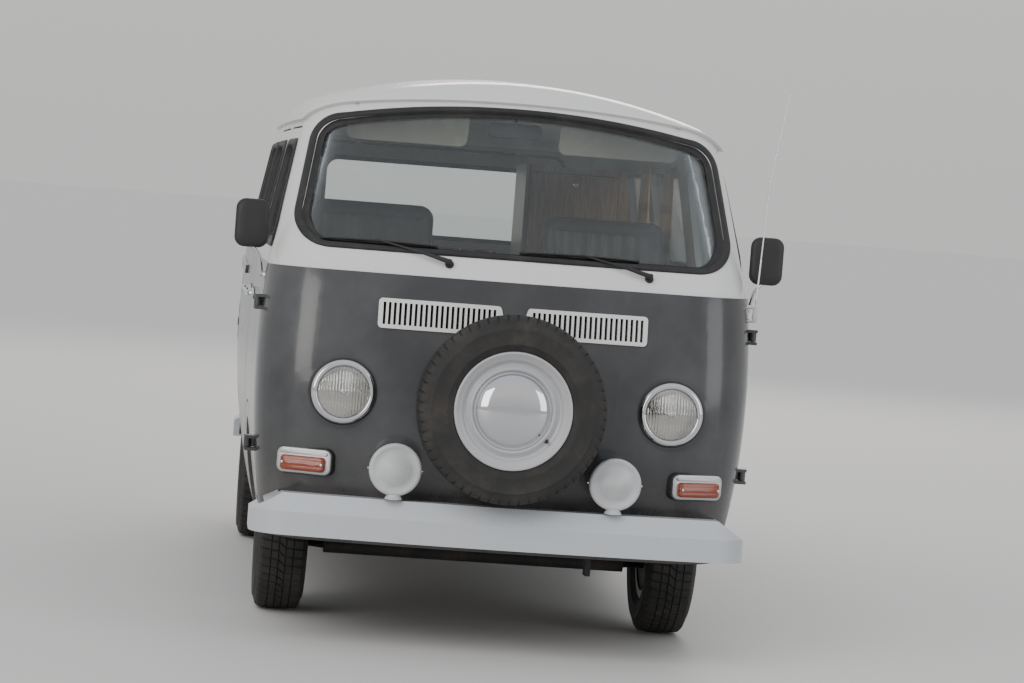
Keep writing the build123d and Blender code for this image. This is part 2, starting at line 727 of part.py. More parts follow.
# Steering knuckle with kingpin, stub axle and brake backplate
PIN_LOW, PIN_HIGH = TUBE_HEIGHTS[0] - BOSS_HALF, TUBE_HEIGHTS[1] + BOSS_HALF
BACKPLATE_RADIUS = 112.0
BACKPLATE_X = FRONT_TRACK / 2 - 51
with BuildPart() as knuckle:
    add(rod_z(KINGPIN_PIN, PIN_LOW, PIN_HIGH, KINGPIN_X, FRONT_AXLE))
    add(rod_z(17, TUBE_HEIGHTS[0] + BOSS_HALF + 2, TUBE_HEIGHTS[1] - BOSS_HALF - 2, KINGPIN_X, FRONT_AXLE))
    add(rod_x(24, KINGPIN_X, BACKPLATE_X, FRONT_AXLE, AXLE_HEIGHT))
    add(rod_x(BACKPLATE_RADIUS, BACKPLATE_X, BACKPLATE_X + 5, FRONT_AXLE, AXLE_HEIGHT))
    add(rod_x(AXLE_RADIUS, BACKPLATE_X, FRONT_TRACK / 2 + 20, FRONT_AXLE, AXLE_HEIGHT))
keep("knuckle_left", knuckle)
keep_mirrored("knuckle_right", knuckle)

# Rear axle: transmission, axle tubes, backplates and trailing arms to a cross tube
REAR_PLATE_X = REAR_TRACK / 2 - 51
CROSS_Y = REAR_AXLE - 430
with BuildPart() as rear_axle:
    add(block(-120, 120, REAR_AXLE - 330, REAR_AXLE + 130, AXLE_HEIGHT - 90, AXLE_HEIGHT + 80))
    fillet(rear_axle.edges().filter_by(Axis.Y), 40)
    add(rod_x(30, -REAR_PLATE_X, REAR_PLATE_X, REAR_AXLE, AXLE_HEIGHT))
    add(rod_x(AXLE_RADIUS, -REAR_TRACK / 2 - 20, REAR_TRACK / 2 + 20, REAR_AXLE, AXLE_HEIGHT))
    add(rod_x(34, -520, 520, CROSS_Y, AXLE_HEIGHT + 45))
    for side in (1, -1):
        inner, outer = sorted((side * REAR_PLATE_X, side * (REAR_PLATE_X + 5)))
        add(rod_x(BACKPLATE_RADIUS, inner, outer, REAR_AXLE, AXLE_HEIGHT))
        add(rod_between((side * 480, CROSS_Y, AXLE_HEIGHT + 45), (side * 560, REAR_AXLE, AXLE_HEIGHT), 24))
        add(rod_between((side * 180, CROSS_Y, AXLE_HEIGHT + 45), (side * 555, REAR_AXLE, AXLE_HEIGHT), 20))
keep("rear_axle", rear_axle)

ENGINE_FRONT, ENGINE_REAR = REAR_AXLE + 140, TAIL - 280
SILENCER_RADIUS = 62.0
with BuildPart() as engine_block:
    add(block(-330, 330, ENGINE_FRONT, ENGINE_REAR, 300, 760))
    add(block(-90, 90, REAR_AXLE + 130, ENGINE_FRONT, 320, 420))
keep("engine_block", engine_block)

with BuildPart() as silencer:
    add(rod_x(SILENCER_RADIUS, -340, 300, ENGINE_REAR + SILENCER_RADIUS + FIT_GAP, 352))
    add(rod_y(18, ENGINE_REAR + SILENCER_RADIUS, TAIL + 24, -290, SILL - 28))
keep("silencer", silencer)

# Floor pan with its frame rails, jack pads and tow eye, cut away round the wheels
floor_front, floor_bottom = NOSE + 40, FLOOR_TOP - FLOOR_THICK
HOUSINGS = [(FRONT_AXLE, FRONT_HOUSING_INNER), (REAR_AXLE, REAR_HOUSING_INNER)]


def wheel_space(axle, inner, extra=0.0):
    """The space both wheels of an axle turn in, made larger by extra."""
    radius, start = HOUSING_RADIUS + extra, inner - extra
    return [rod_x(radius, start, 1000, axle, AXLE_HEIGHT), rod_x(radius, -1000, -start, axle, AXLE_HEIGHT)]


rails = []
for x in (-RAIL_X, RAIL_X):
    start, end = x - RAIL_WIDTH / 2, x + RAIL_WIDTH / 2
    rails.append(block(start, end, NOSE + 150, REAR_AXLE - 350, RAIL_BOTTOM, floor_bottom))
    for y in (JACK_FRONT, JACK_REAR):
        rails.append(block(start + 10, end - 10, y - 40, y + 40, JACK_FACE, RAIL_BOTTOM))
rails.append(block(RAIL_X - 9, RAIL_X + 9, TOW_Y - 34, TOW_Y + 34, TOW_Z - 30, RAIL_BOTTOM))
rail_notches = [rod_x(TUBE_RADIUS + FIT_GAP, -900, 900, TUBE_Y, z) for z in TUBE_HEIGHTS] + [
    block(-700, 700, TUBE_Y - 14 - FIT_GAP, TUBE_Y + 14 + FIT_GAP, 200, TUBE_HEIGHTS[1]),
    rod_x(34 + FIT_GAP, -540, 540, CROSS_Y, AXLE_HEIGHT + 45),
    rod_x(TOW_BORE, RAIL_X - 60, RAIL_X + 60, TOW_Y, TOW_Z),
]
housing_cuts = [cut for axle, inner in HOUSINGS for cut in wheel_space(axle, inner, PLATE + FIT_GAP)]
with BuildPart() as floor_pan:
    add(block(-900, 900, floor_front, BULKHEAD, floor_bottom, FLOOR_TOP))
    add(inside_clear, mode=Mode.INTERSECT)
    add(housing_cuts, mode=Mode.SUBTRACT)
    add(rails)
    add(rail_notches, mode=Mode.SUBTRACT)
keep("floor_pan", floor_pan)


def housing_shells(axle, inner, top):
    """The round skins over both wheels of an axle, up to a height."""
    with BuildPart() as shells:
        add(wheel_space(axle, inner, PLATE))
        add(wheel_space(axle, inner), mode=Mode.SUBTRACT)
        add(block(-1000, 1000, axle - 600, axle + 600, floor_bottom, top), mode=Mode.INTERSECT)
    return shells.part


# Seat box under the front seats, with the front wheels' housings
with BuildPart() as seat_box:
    add(block(-900, 900, SEAT_BOX_FRONT, SEAT_BOX_REAR, FLOOR_TOP + FIT_GAP, SEAT_BOX_TOP))
    seat_box_inside = block(
        -900, 900, SEAT_BOX_FRONT + PLATE, SEAT_BOX_REAR - PLATE, FLOOR_TOP, SEAT_BOX_TOP - PLATE
    )
    add(seat_box_inside, mode=Mode.SUBTRACT)
    add(wheel_space(FRONT_AXLE, FRONT_HOUSING_INNER), mode=Mode.SUBTRACT)
    add(housing_shells(FRONT_AXLE, FRONT_HOUSING_INNER, SEAT_BOX_TOP))
    add(inside_clear, mode=Mode.INTERSECT)
keep("seat_box", seat_box)

# Engine deck: bulkhead, shelf, rear frame members and the rear wheels' housings
rear_rails = [
    block(x - 28, x + 28, BULKHEAD - PLATE, TAIL, FLOOR_TOP + FIT_GAP, FLOOR_TOP + 64)
    for x in (-REAR_IRON_X, REAR_IRON_X)
]
with BuildPart() as engine_deck:
    add(block(-900, 900, BULKHEAD - PLATE, BULKHEAD, FLOOR_TOP + FIT_GAP, DECK_TOP))
    add(block(-900, 900, BULKHEAD - PLATE, TAIL, DECK_TOP - PLATE, DECK_TOP))
    add(rear_rails)
    add(wheel_space(REAR_AXLE, REAR_HOUSING_INNER), mode=Mode.SUBTRACT)
    add(housing_shells(REAR_AXLE, REAR_HOUSING_INNER, DECK_TOP))
    add(inside_clear, mode=Mode.INTERSECT)
keep("engine_deck", engine_deck)

# Bumpers: a bent channel seen from above, cut away at its ends
BUMPER_BOTTOM, BUMPER_TOP, BUMPER_DEPTH, BUMPER_SKIN = 369.0, 507.0, 92.0, 8.0
BEVEL_HEIGHT, BEVEL_DEPTH = 60.0, 32.0


def bumper_plan(front, half, end_back, bow, shrink):
    """The bumper's outline from above, its nose at front and its ends reaching back along the sides."""
    with BuildSketch(Plane.XY) as plan:
        with BuildLine():
            ThreePointArc((-half, front + bow), (0, front), (half, front + bow))
            Polyline((half, front + bow), (half, end_back), (-half, end_back), (-half, front + bow))
        make_face()
        fillet(plan.vertices().sort_by(Axis.Y)[:2], 130)
        if shrink:
            offset(amount=-shrink, mode=Mode.REPLACE)
    return plan.sketch


def bumper(front, half, end_back, bow):
    """A bumper facing -Y: a channel open towards the body, its upper edge bevelled and its ends cut down."""
    height = BUMPER_TOP - BUMPER_BOTTOM
    with BuildPart() as bar:
        with BuildSketch(Plane.XY.offset(BUMPER_BOTTOM)):
            add(bumper_plan(front, half, end_back, bow, 0))
        extrude(amount=height - BEVEL_HEIGHT)
        with BuildSketch(Plane.XY.offset(BUMPER_TOP - BEVEL_HEIGHT)):
            add(bumper_plan(front, half, end_back, bow, 0))
        extrude(amount=BEVEL_HEIGHT, taper=degrees(atan(BEVEL_DEPTH / BEVEL_HEIGHT)))
        with BuildSketch(Plane.XY.offset(BUMPER_BOTTOM)):
            add(bumper_plan(front, half, end_back + 200, bow, BUMPER_DEPTH))
        extrude(amount=height, mode=Mode.SUBTRACT)
        with BuildSketch(Plane.XY.offset(BUMPER_BOTTOM + BUMPER_SKIN)):
            add(bumper_plan(front, half, end_back + 200, bow, BEVEL_DEPTH - 6))
        extrude(amount=height - BEVEL_HEIGHT / 2 - 2 * BUMPER_SKIN, mode=Mode.SUBTRACT)
        for side in (1, -1):
            wedge = [
                (side * (half - 105), BUMPER_TOP + 1),
                (side * (half + 10), BUMPER_TOP - 75),
                (side * (half + 10), BUMPER_TOP + 1),
            ]
            add(through_y(front_outline(wedge), -FAR, FAR), mode=Mode.SUBTRACT)
    return bar.part


IRON_HALF, IRON_BOTTOM, IRON_TOP = 22.0, 415.0, 467.0
with BuildPart() as front_bumper:
    add(bumper(NOSE - NOSE_TO_BUMPER, 834, NOSE + 190, 62))
    for x in (-FRONT_IRON_X, FRONT_IRON_X):
        iron_front = NOSE - NOSE_TO_BUMPER + BUMPER_SKIN + 14
        add(block(x - IRON_HALF, x + IRON_HALF, iron_front, NOSE + 60, IRON_BOTTOM, IRON_TOP))
    add(skin_clear, mode=Mode.SUBTRACT)
keep("front_bumper", front_bumper)

with BuildPart() as rear_bumper:
    add(bumper(-TAIL - TAIL_TO_BUMPER, 828, 170 - TAIL, 46).mirror(Plane.XZ))
    for x in (-REAR_IRON_X, REAR_IRON_X):
        iron_rear = TAIL + TAIL_TO_BUMPER - BUMPER_SKIN - 14
        add(block(x - IRON_HALF, x + IRON_HALF, TAIL - 60, iron_rear, IRON_BOTTOM, IRON_TOP))
    add(skin_clear, mode=Mode.SUBTRACT)
keep("rear_bumper", rear_bumper)


# Lamps
def lamp(x, face, z, profile):
    """A lamp turned about Y. Profile points are (radius, distance behind the face)."""
    with BuildPart() as solid:
        with BuildSketch(Plane.YZ):
            with BuildLine():
                Polyline(*[(face + back, z + radius) for radius, back in profile], close=True)
            make_face()
        revolve(axis=Axis((0, 0, z), (0, 1, 0)))
    return solid.part.moved(Location((x, 0, 0)))


HEADLAMP_PROFILE = [
    (0, -32),
    (52, -27),
    (86, -14),
    (96, -10),
    (107, -6),
    (107, -FIT_GAP),
    (HEADLAMP_RADIUS, -FIT_GAP),
    (HEADLAMP_RADIUS, 20),
    (60, 84),
    (0, 84),
]
with BuildPart() as headlamps:
    for x in (-HEADLAMP_X, HEADLAMP_X):
        add(lamp(x, POD_FACE, HEADLAMP_Z, HEADLAMP_PROFILE))
keep("headlamps", headlamps)

FOG_PROFILE = [(0, -8), (50, -5), (FOG_RADIUS, 4), (FOG_RADIUS, 30), (FOG_RADIUS - 14, 56), (40, 82), (0, 86)]
with BuildPart() as fog_lamps:
    for x in (-FOG_X, FOG_X):
        add(lamp(x, FOG_FACE, FOG_Z, FOG_PROFILE))
        add(rod_z(9, BUMPER_TOP, FOG_Z - FOG_RADIUS + 20, x, FOG_FACE + 36))
        add(rod_z(17, BUMPER_TOP, BUMPER_TOP + 3, x, FOG_FACE + 36))
keep("fog_lamps", fog_lamps)


def corner_lamp(x, y, z, turn, width, height, radius, proud):
    """A rounded lamp on a body corner, facing turn degrees outwards of straight along the van."""
    facing = 1 if y > 0 else -1
    outward = (sin(radians(turn)), facing * cos(radians(turn)), 0)
    sideways = (cos(radians(turn)), -facing * sin(radians(turn)), 0)
    with BuildPart() as solid:
        with BuildSketch(Plane(origin=(x, y, z), x_dir=sideways, z_dir=outward)):
            RectangleRounded(width, height, radius)
        extrude(amount=proud)
        chamfer(solid.faces().sort_by(Axis(origin=(x, y, z), direction=outward))[-1].edges(), 6)
        extrude(solid.faces().sort_by(Axis(origin=(x, y, z), direction=outward))[0], amount=60)
        add(skin_clear, mode=Mode.SUBTRACT)
    return solid


indicator = corner_lamp(
    INDICATOR_X, NOSE + 58, INDICATOR_Z, INDICATOR_TURN, INDICATOR_WIDTH, INDICATOR_HEIGHT, 30, 34
)
with BuildPart() as front_indicators:
    add(indicator.part)
    mirror(about=Plane.YZ)
keep("front_indicators", front_indicators)

tail_lamp = corner_lamp(TAIL_LAMP_X, TAIL - 50, TAIL_LAMP_Z, 32, 88, 162, 40, 36)
with BuildPart() as tail_lamps:
    add(tail_lamp.part)
    mirror(about=Plane.YZ)
keep("tail_lamps", tail_lamps)

# Air grille: two slotted panels in the nose's shallow pockets
SLOT_PITCH, SLOT_WIDTH, SLOTS = 17.5, 9.0, 22
with BuildPart() as air_grille:
    add(walls(LOWER_SECTIONS, -GRILLE_PROUD))
    add(through_y(front_outline(grille_corners, 14, FIT_GAP), NOSE - 100, NOSE + 200), mode=Mode.INTERSECT)
    add(walls(LOWER_SECTIONS, POCKET_DEPTH - FIT_GAP, 10), mode=Mode.SUBTRACT)
    with BuildSketch(Plane.XZ.offset(-NOSE - 200)):
        slots_middle = (GRILLE_NOTCH_TOP + GRILLE_HALF) / 2
        with Locations((slots_middle, (GRILLE_BOTTOM + GRILLE_TOP) / 2)):
            with GridLocations(SLOT_PITCH, 0, SLOTS, 1):
                Rectangle(SLOT_WIDTH, GRILLE_TOP - GRILLE_BOTTOM - 26)
    extrude(amount=400, mode=Mode.SUBTRACT)
    mirror(about=Plane.YZ)
keep("air_grille", air_grille)


# Wipers
def screen_point(x, z, out):
    """A point that stands out from the windscreen's surround, at a place seen from the front."""
    return (x, nose_skin(x, z) - out, z)


# Columns: pivot x, pivot z, arm's end x, arm's end z, blade's reach each side of it.
WIPERS = [(-225, 1295, -470, 1348, 205), (455, 1295, 215, 1348, 205)]
with BuildPart() as wipers:
    for pivot_x, pivot_z, tip_x, tip_z, reach in WIPERS:
        add(rod_between(screen_point(pivot_x, pivot_z, -8), screen_point(pivot_x, pivot_z, 24), 10))
        add(rod_between(screen_point(pivot_x, pivot_z, 18), screen_point(tip_x, tip_z, 14), 5))
        for side in (1, -1):
            blade_end = screen_point(tip_x + side * reach, tip_z, 8)
            add(rod_between(screen_point(tip_x, tip_z, 8), blade_end, 6))
    add(skin_clear, mode=Mode.SUBTRACT)
keep("wipers", wipers)

# Door mirrors
MIRROR_X, MIRROR_Y, MIRROR_Z = 888.0, NOSE + 322, 1382.0
MIRROR_WIDTH, MIRROR_HEIGHT, MIRROR_DEPTH = 115.0, 165.0, 26.0
MIRROR_FOOT = (side_skin(NOSE + 352, 1208) - 10, NOSE + 352, 1208.0)
with BuildPart() as door_mirror:
    with BuildSketch(Plane.XZ.offset(-MIRROR_Y - MIRROR_DEPTH / 2)):
        with Locations((MIRROR_X, MIRROR_Z)):
            RectangleRounded(MIRROR_WIDTH, MIRROR_HEIGHT, 34)
    extrude(amount=MIRROR_DEPTH)
    chamfer(door_mirror.faces().sort_by(Axis.Y)[0].edges(), 9)
    elbow = (MIRROR_X - 34, MIRROR_Y + 12, MIRROR_Z - 108)
    add(rod_between(MIRROR_FOOT, elbow, 6))
    with Locations(elbow):
        Sphere(7.5)
    add(rod_between(elbow, (MIRROR_X, MIRROR_Y + 2, MIRROR_Z - MIRROR_HEIGHT / 2 + 12), 6))
    add(rod_x(15, MIRROR_FOOT[0], MIRROR_FOOT[0] + 32, MIRROR_FOOT[1], MIRROR_FOOT[2]))
    add(skin_clear, mode=Mode.SUBTRACT)
keep("mirror_left", door_mirror)
keep_mirrored("mirror_right", door_mirror)

# Aerial on the left front corner, its upper third bent outwards
AERIAL_Y = NOSE + 242
AERIAL_FOOT, AERIAL_BEND, AERIAL_TIP = (846, AERIAL_Y, 1170), (864, AERIAL_Y, 1650), (912, AERIAL_Y, 1975)
with BuildPart() as aerial:
    add(rod_between(AERIAL_FOOT, AERIAL_BEND, 3.5))
    with Locations(AERIAL_BEND):
        Sphere(4.2)
    add(rod_between(AERIAL_BEND, AERIAL_TIP, 3.5))
    add(rod_between(AERIAL_FOOT, (848, AERIAL_Y, 1232), 9))
    for z in (1176, 1222):
        add(rod_x(6, 780, AERIAL_FOOT[0] + 2, AERIAL_Y, z))
    add(skin_clear, mode=Mode.SUBTRACT)
keep("aerial", aerial)

# Sliding door's middle rail along the right side, and the doors' handles
RAIL_FRONT, RAIL_REAR, RAIL_Z = SLIDE_REAR + 20, TAIL - 330, 1168.0
with BuildPart() as slide_rail:
    add(block(-900, -600, RAIL_FRONT, RAIL_REAR, RAIL_Z - 17, RAIL_Z + 17))
    fillet(slide_rail.edges().filter_by(Axis.X), 12)
    add(walls(LOWER_SECTIONS, -11), mode=Mode.INTERSECT)
    add(skin_clear, mode=Mode.SUBTRACT)
keep("slide_rail", slide_rail)

HANDLE_Z, HANDLE_LENGTH, HANDLE_OUT = 1118.0, 150.0, 44.0


def pull_handle(y, z, facing):
    """A bar handle on two posts on the +X side, its posts' roots cut to the skin."""
    half_width = side_skin(y, z)
    start, end = sorted((y, y + facing * HANDLE_LENGTH))
    with BuildPart() as solid:
        add(block(half_width + HANDLE_OUT - 24, half_width + HANDLE_OUT - 10, start, end, z - 11, z + 11))
        fillet(solid.edges(), 5)
        for post in (start + 14, end - 14):
            add(rod_x(9, half_width - 30, half_width + HANDLE_OUT - 16, post, z))
        add(skin_clear, mode=Mode.SUBTRACT)
    return solid


door_handle = pull_handle(CAB_DOOR_REAR - 60, HANDLE_Z, -1)
keep("door_handle_left", door_handle)
keep_mirrored("door_handle_right", door_handle)
keep_mirrored("sliding_door_handle", pull_handle(SLIDE_FRONT + 60, HANDLE_Z, 1))

# Dashboard with the steering column
COLUMN_X = 385.0
COLUMN_FOOT, COLUMN_HEAD = (COLUMN_X, NOSE + 320, FLOOR_TOP), (COLUMN_X, NOSE + 590, 1120.0)
DASH_HALF = 772.0
with BuildPart() as dashboard:
    dash_side = [
        (NOSE + 120, 1030),
        (NOSE + 330, 1030),
        (NOSE + 352, 1180),
        (NOSE + 320, 1262),
        (NOSE + 180, 1292),
        (NOSE + 120, 1292),
    ]
    add(through_x(side_outline(dash_side), -DASH_HALF, DASH_HALF))
    add(block(COLUMN_X - 30, COLUMN_X + 30, NOSE + 200, NOSE + 560, 1032, 1062))
    add(inside_clear, mode=Mode.INTERSECT)
    add(rod_between(COLUMN_FOOT, COLUMN_HEAD, 22))
    add(block(-900, 900, NOSE, NOSE + 700, 0, FLOOR_TOP + FIT_GAP), mode=Mode.SUBTRACT)
keep("dashboard", dashboard)

column_way = (Vector(*COLUMN_HEAD) - Vector(*COLUMN_FOOT)).normalized()
wheel_centre = Vector(*COLUMN_HEAD) + column_way * 46
wheel_plane = Plane(origin=wheel_centre, x_dir=(1, 0, 0), z_dir=column_way)
STEERING_RADIUS, STEERING_RIM = 198.0, 12.0
with BuildPart() as steering_wheel:
    with BuildSketch(Plane(origin=wheel_centre, x_dir=(1, 0, 0), z_dir=wheel_plane.y_dir)):
        with Locations((STEERING_RADIUS, 0)):
            Circle(STEERING_RIM)
    revolve(axis=Axis(wheel_centre, column_way))
    with BuildSketch(wheel_plane.offset(FIT_GAP - 46)):
        Circle(24)
    extrude(amount=31, taper=-25)
    with BuildSketch(wheel_plane.offset(-16)):
        Circle(46)
        for turn in (-20, 200):
            with Locations(Rot(0, 0, turn) * Pos(STEERING_RADIUS / 2, 0)):
                Rectangle(STEERING_RADIUS - 8, 26)
    extrude(amount=10)
keep("steering_wheel", steering_wheel)

# Front seats: cushions on the seat box and backs that lean back
SEAT_X, SEAT_HALF = 430.0, 255.0
with BuildPart() as front_seats:
    for side in (1, -1):
        seat_x = side * SEAT_X
        left, right = seat_x - SEAT_HALF, seat_x + SEAT_HALF
        add(block(left, right, NOSE + 690, NOSE + 1150, SEAT_BOX_TOP, SEAT_BOX_TOP + 130))
        back_side = [
            (NOSE + 1152, SEAT_BOX_TOP + 40),
            (NOSE + 1250, SEAT_BOX_TOP + 40),
            (NOSE + 1318, 1500),
            (NOSE + 1218, 1500),
        ]
        add(through_x(side_outline(back_side, 40), left + 10, right - 10))
        add(block(seat_x - 180, seat_x + 180, NOSE + 1170, NOSE + 1240, SEAT_BOX_TOP, SEAT_BOX_TOP + 80))
    fillet(front_seats.edges().filter_by(Axis.Z), 30)
keep("front_seats", front_seats)

# Rear bench with its box, and the fitted units along the left side
BENCH_FRONT = BULKHEAD - 560
BENCH_LEFT, BENCH_RIGHT = 280.0, -770.0
housing_clear = rod_x(
    HOUSING_RADIUS + PLATE + FIT_GAP, -1000, 1000, REAR_AXLE, AXLE_HEIGHT
) - block(
    FIT_GAP + PLATE - REAR_HOUSING_INNER, REAR_HOUSING_INNER - PLATE - FIT_GAP, -FAR, FAR, -100, FAR
)
with BuildPart() as rear_bench:
    bench_end = BULKHEAD - PLATE - FIT_GAP
    add(block(BENCH_RIGHT, BENCH_LEFT, BENCH_FRONT + 30, bench_end, FLOOR_TOP + FIT_GAP, 740))
    add(block(BENCH_RIGHT, BENCH_LEFT, BENCH_FRONT, bench_end - 130, 740, 870))
    bench_back = [
        (bench_end - 130, 740),
        (bench_end, 740),
        (bench_end, DECK_TOP),
        (bench_end + 60, 1330),
        (bench_end - 60, 1330),
    ]
    add(through_x(side_outline(bench_back), BENCH_RIGHT, BENCH_LEFT))
    add(block(BENCH_RIGHT, BENCH_LEFT, bench_end, FAR, 0, DECK_TOP + FIT_GAP), mode=Mode.SUBTRACT)
    add(housing_clear, mode=Mode.SUBTRACT)
    add(inside_clear, mode=Mode.INTERSECT)
keep("rear_bench", rear_bench)

WARDROBE_INNER, WARDROBE_TOP = BENCH_LEFT + 12, 1675.0
with BuildPart() as camper_units:
    unit_floor = FLOOR_TOP + FIT_GAP
    add(block(WARDROBE_INNER, 900, BULKHEAD - 460, BULKHEAD - PLATE - FIT_GAP, unit_floor, WARDROBE_TOP))
    add(block(400, 900, NOSE + 1420, NOSE + 2380, unit_floor, 1180))
    add(housing_clear, mode=Mode.SUBTRACT)
    add(inside_clear, mode=Mode.INTERSECT)
keep("camper_units", camper_units)
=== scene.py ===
"""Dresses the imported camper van: paint, glass, rubber, bright trim, lamps, wheels and the cab's fittings.

Places are in metres in the frame's own axes: the nose points along -Y, the van's left side is +X, and Z is up.
The measures that Form's shapes take, other than places, are in millimetres.
"""

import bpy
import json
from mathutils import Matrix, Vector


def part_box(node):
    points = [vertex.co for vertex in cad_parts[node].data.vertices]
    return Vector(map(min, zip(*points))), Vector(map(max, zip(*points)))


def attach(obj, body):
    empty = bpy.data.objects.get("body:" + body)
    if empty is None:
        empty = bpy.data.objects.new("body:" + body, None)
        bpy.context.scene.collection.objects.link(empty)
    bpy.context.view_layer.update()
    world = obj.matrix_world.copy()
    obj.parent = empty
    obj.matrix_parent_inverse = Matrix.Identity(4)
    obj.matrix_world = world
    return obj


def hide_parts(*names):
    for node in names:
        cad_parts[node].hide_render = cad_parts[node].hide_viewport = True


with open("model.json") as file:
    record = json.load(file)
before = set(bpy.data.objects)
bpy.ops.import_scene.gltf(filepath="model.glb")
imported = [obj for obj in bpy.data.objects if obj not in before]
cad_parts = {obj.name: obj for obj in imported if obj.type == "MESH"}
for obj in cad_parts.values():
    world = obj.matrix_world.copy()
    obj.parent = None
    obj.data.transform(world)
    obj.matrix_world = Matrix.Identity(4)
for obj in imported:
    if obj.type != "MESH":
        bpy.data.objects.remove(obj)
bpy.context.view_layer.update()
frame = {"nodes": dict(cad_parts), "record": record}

import json
from math import cos, pi, radians, sin, tanh

import bmesh
import bpy
from bpy.props import FloatProperty, FloatVectorProperty, IntProperty, PointerProperty
from mathutils import Matrix, Vector
from mathutils.bvhtree import BVHTree

bl_info = {
    "name": "Camper van dressing",
    "version": (1, 0, 0),
    "blender": (4, 5, 0),
    "location": "3D View > Sidebar > Camper",
    "description": "Builds the camper van's finishes, trim, lamps, wheels and fittings round its frame",
    "category": "Object",
}

VAN = "van"
SIDES = {1: "left", -1: "right"}
NOSE, TAIL = -2.040, 2.140
BELT = 1.2505
GLASS_INSET = 0.016
LEFT, BACK, UP = Vector((1, 0, 0)), Vector((0, 1, 0)), Vector((0, 0, 1))


# Sizes and colours that a user would change


def length(name, description, default):
    """A size in metres."""
    return FloatProperty(name=name, description=description, default=default, unit="LENGTH", precision=4)


def colour(name, description, default):
    """A colour in linear light."""
    return FloatVectorProperty(
        name=name, description=description, default=default, subtype="COLOR", size=3, min=0, max=1
    )


class CamperSizes(bpy.types.PropertyGroup):
    """Sizes of the trim that is built round the frame."""

    seal_width: length("Seal width", "How far a window's rubber reaches over the body", 0.012)
    seal_height: length("Seal height", "How far a window's rubber stands out from the body", 0.0075)
    tread_depth: length("Tread depth", "Depth of the tyres' grooves", 0.0065)
    tread_pitches: IntProperty(name="Tread pitches", description="Blocks round a tyre", default=58, min=20)
    grille_slats: IntProperty(name="Slats", description="Slats in each intake at the rear", default=9, min=3)
    camera_distance: length("Camera distance", "From the nose to the camera", 11.34)
    camera_height: length("Camera height", "Above the ground the van stands on", 1.55)


class CamperColours(bpy.types.PropertyGroup):
    """Colours of the finishes."""

    lower: colour("Lower body", "Paint below the belt line", (0.026, 0.028, 0.032))
    upper: colour("Upper body", "Paint above the belt line and on the roof", (0.60, 0.605, 0.60))
    # The bumpers' white paint, given the darker, bluer tone it shows in shade: painted shade
    bumper: colour("Bumpers", "Paint of the bumpers", (0.42, 0.445, 0.475))
    # The wheels' white paint, given the grey, slightly blue tone it shows in shade: painted shade
    rim: colour("Rims", "Paint of the wheels", (0.38, 0.385, 0.40))
    lining: colour("Lining", "Boards inside the doors and walls", (0.46, 0.43, 0.37))
    vinyl: colour("Seat vinyl", "Covers of the front seats", (0.055, 0.045, 0.038))
    cloth: colour("Bench cloth", "Ground colour of the bench's checked cloth", (0.30, 0.16, 0.07))
    wood: colour("Units", "Veneer of the fitted units", (0.33, 0.19, 0.09))
    curtain: colour("Curtains", "Woven cotton at the side windows", (0.52, 0.33, 0.16))
    amber: colour("Amber lens", "Indicator lenses", (0.33, 0.050, 0.014))
    red: colour("Red lens", "Tail lamp lenses", (0.50, 0.008, 0.006))


# Shader maths


def maths(operation, reflected=False):
    """A method that adds a Math node."""

    def method(self, *others):
        inputs = (*others, self) if reflected else (self, *others)
        return self.finish.node("ShaderNodeMath", {"operation": operation}, *inputs)

    return method


class Value:
    """A shader socket that takes part in Python expressions, each of which adds a Math node."""

    __add__, __radd__ = maths("ADD"), maths("ADD", True)
    __sub__, __rsub__ = maths("SUBTRACT"), maths("SUBTRACT", True)
    __mul__, __rmul__ = maths("MULTIPLY"), maths("MULTIPLY", True)
    __pow__, __mod__ = maths("POWER"), maths("FLOORED_MODULO")
    __gt__, __lt__ = maths("GREATER_THAN"), maths("LESS_THAN")
    __abs__, sine, higher_of, turn_from = maths("ABSOLUTE"), maths("SINE"), maths("MAXIMUM"), maths("ARCTAN2")

    def __init__(self, finish, socket):
        self.finish, self.socket = finish, socket

    def rise(self, low, high):
        """0 below low and 1 above high, with a smooth rise between them."""
        return self.finish.node(
            "ShaderNodeMapRange", {"interpolation_type": "SMOOTHSTEP"}, self, low, high, 0.0, 1.0
        )


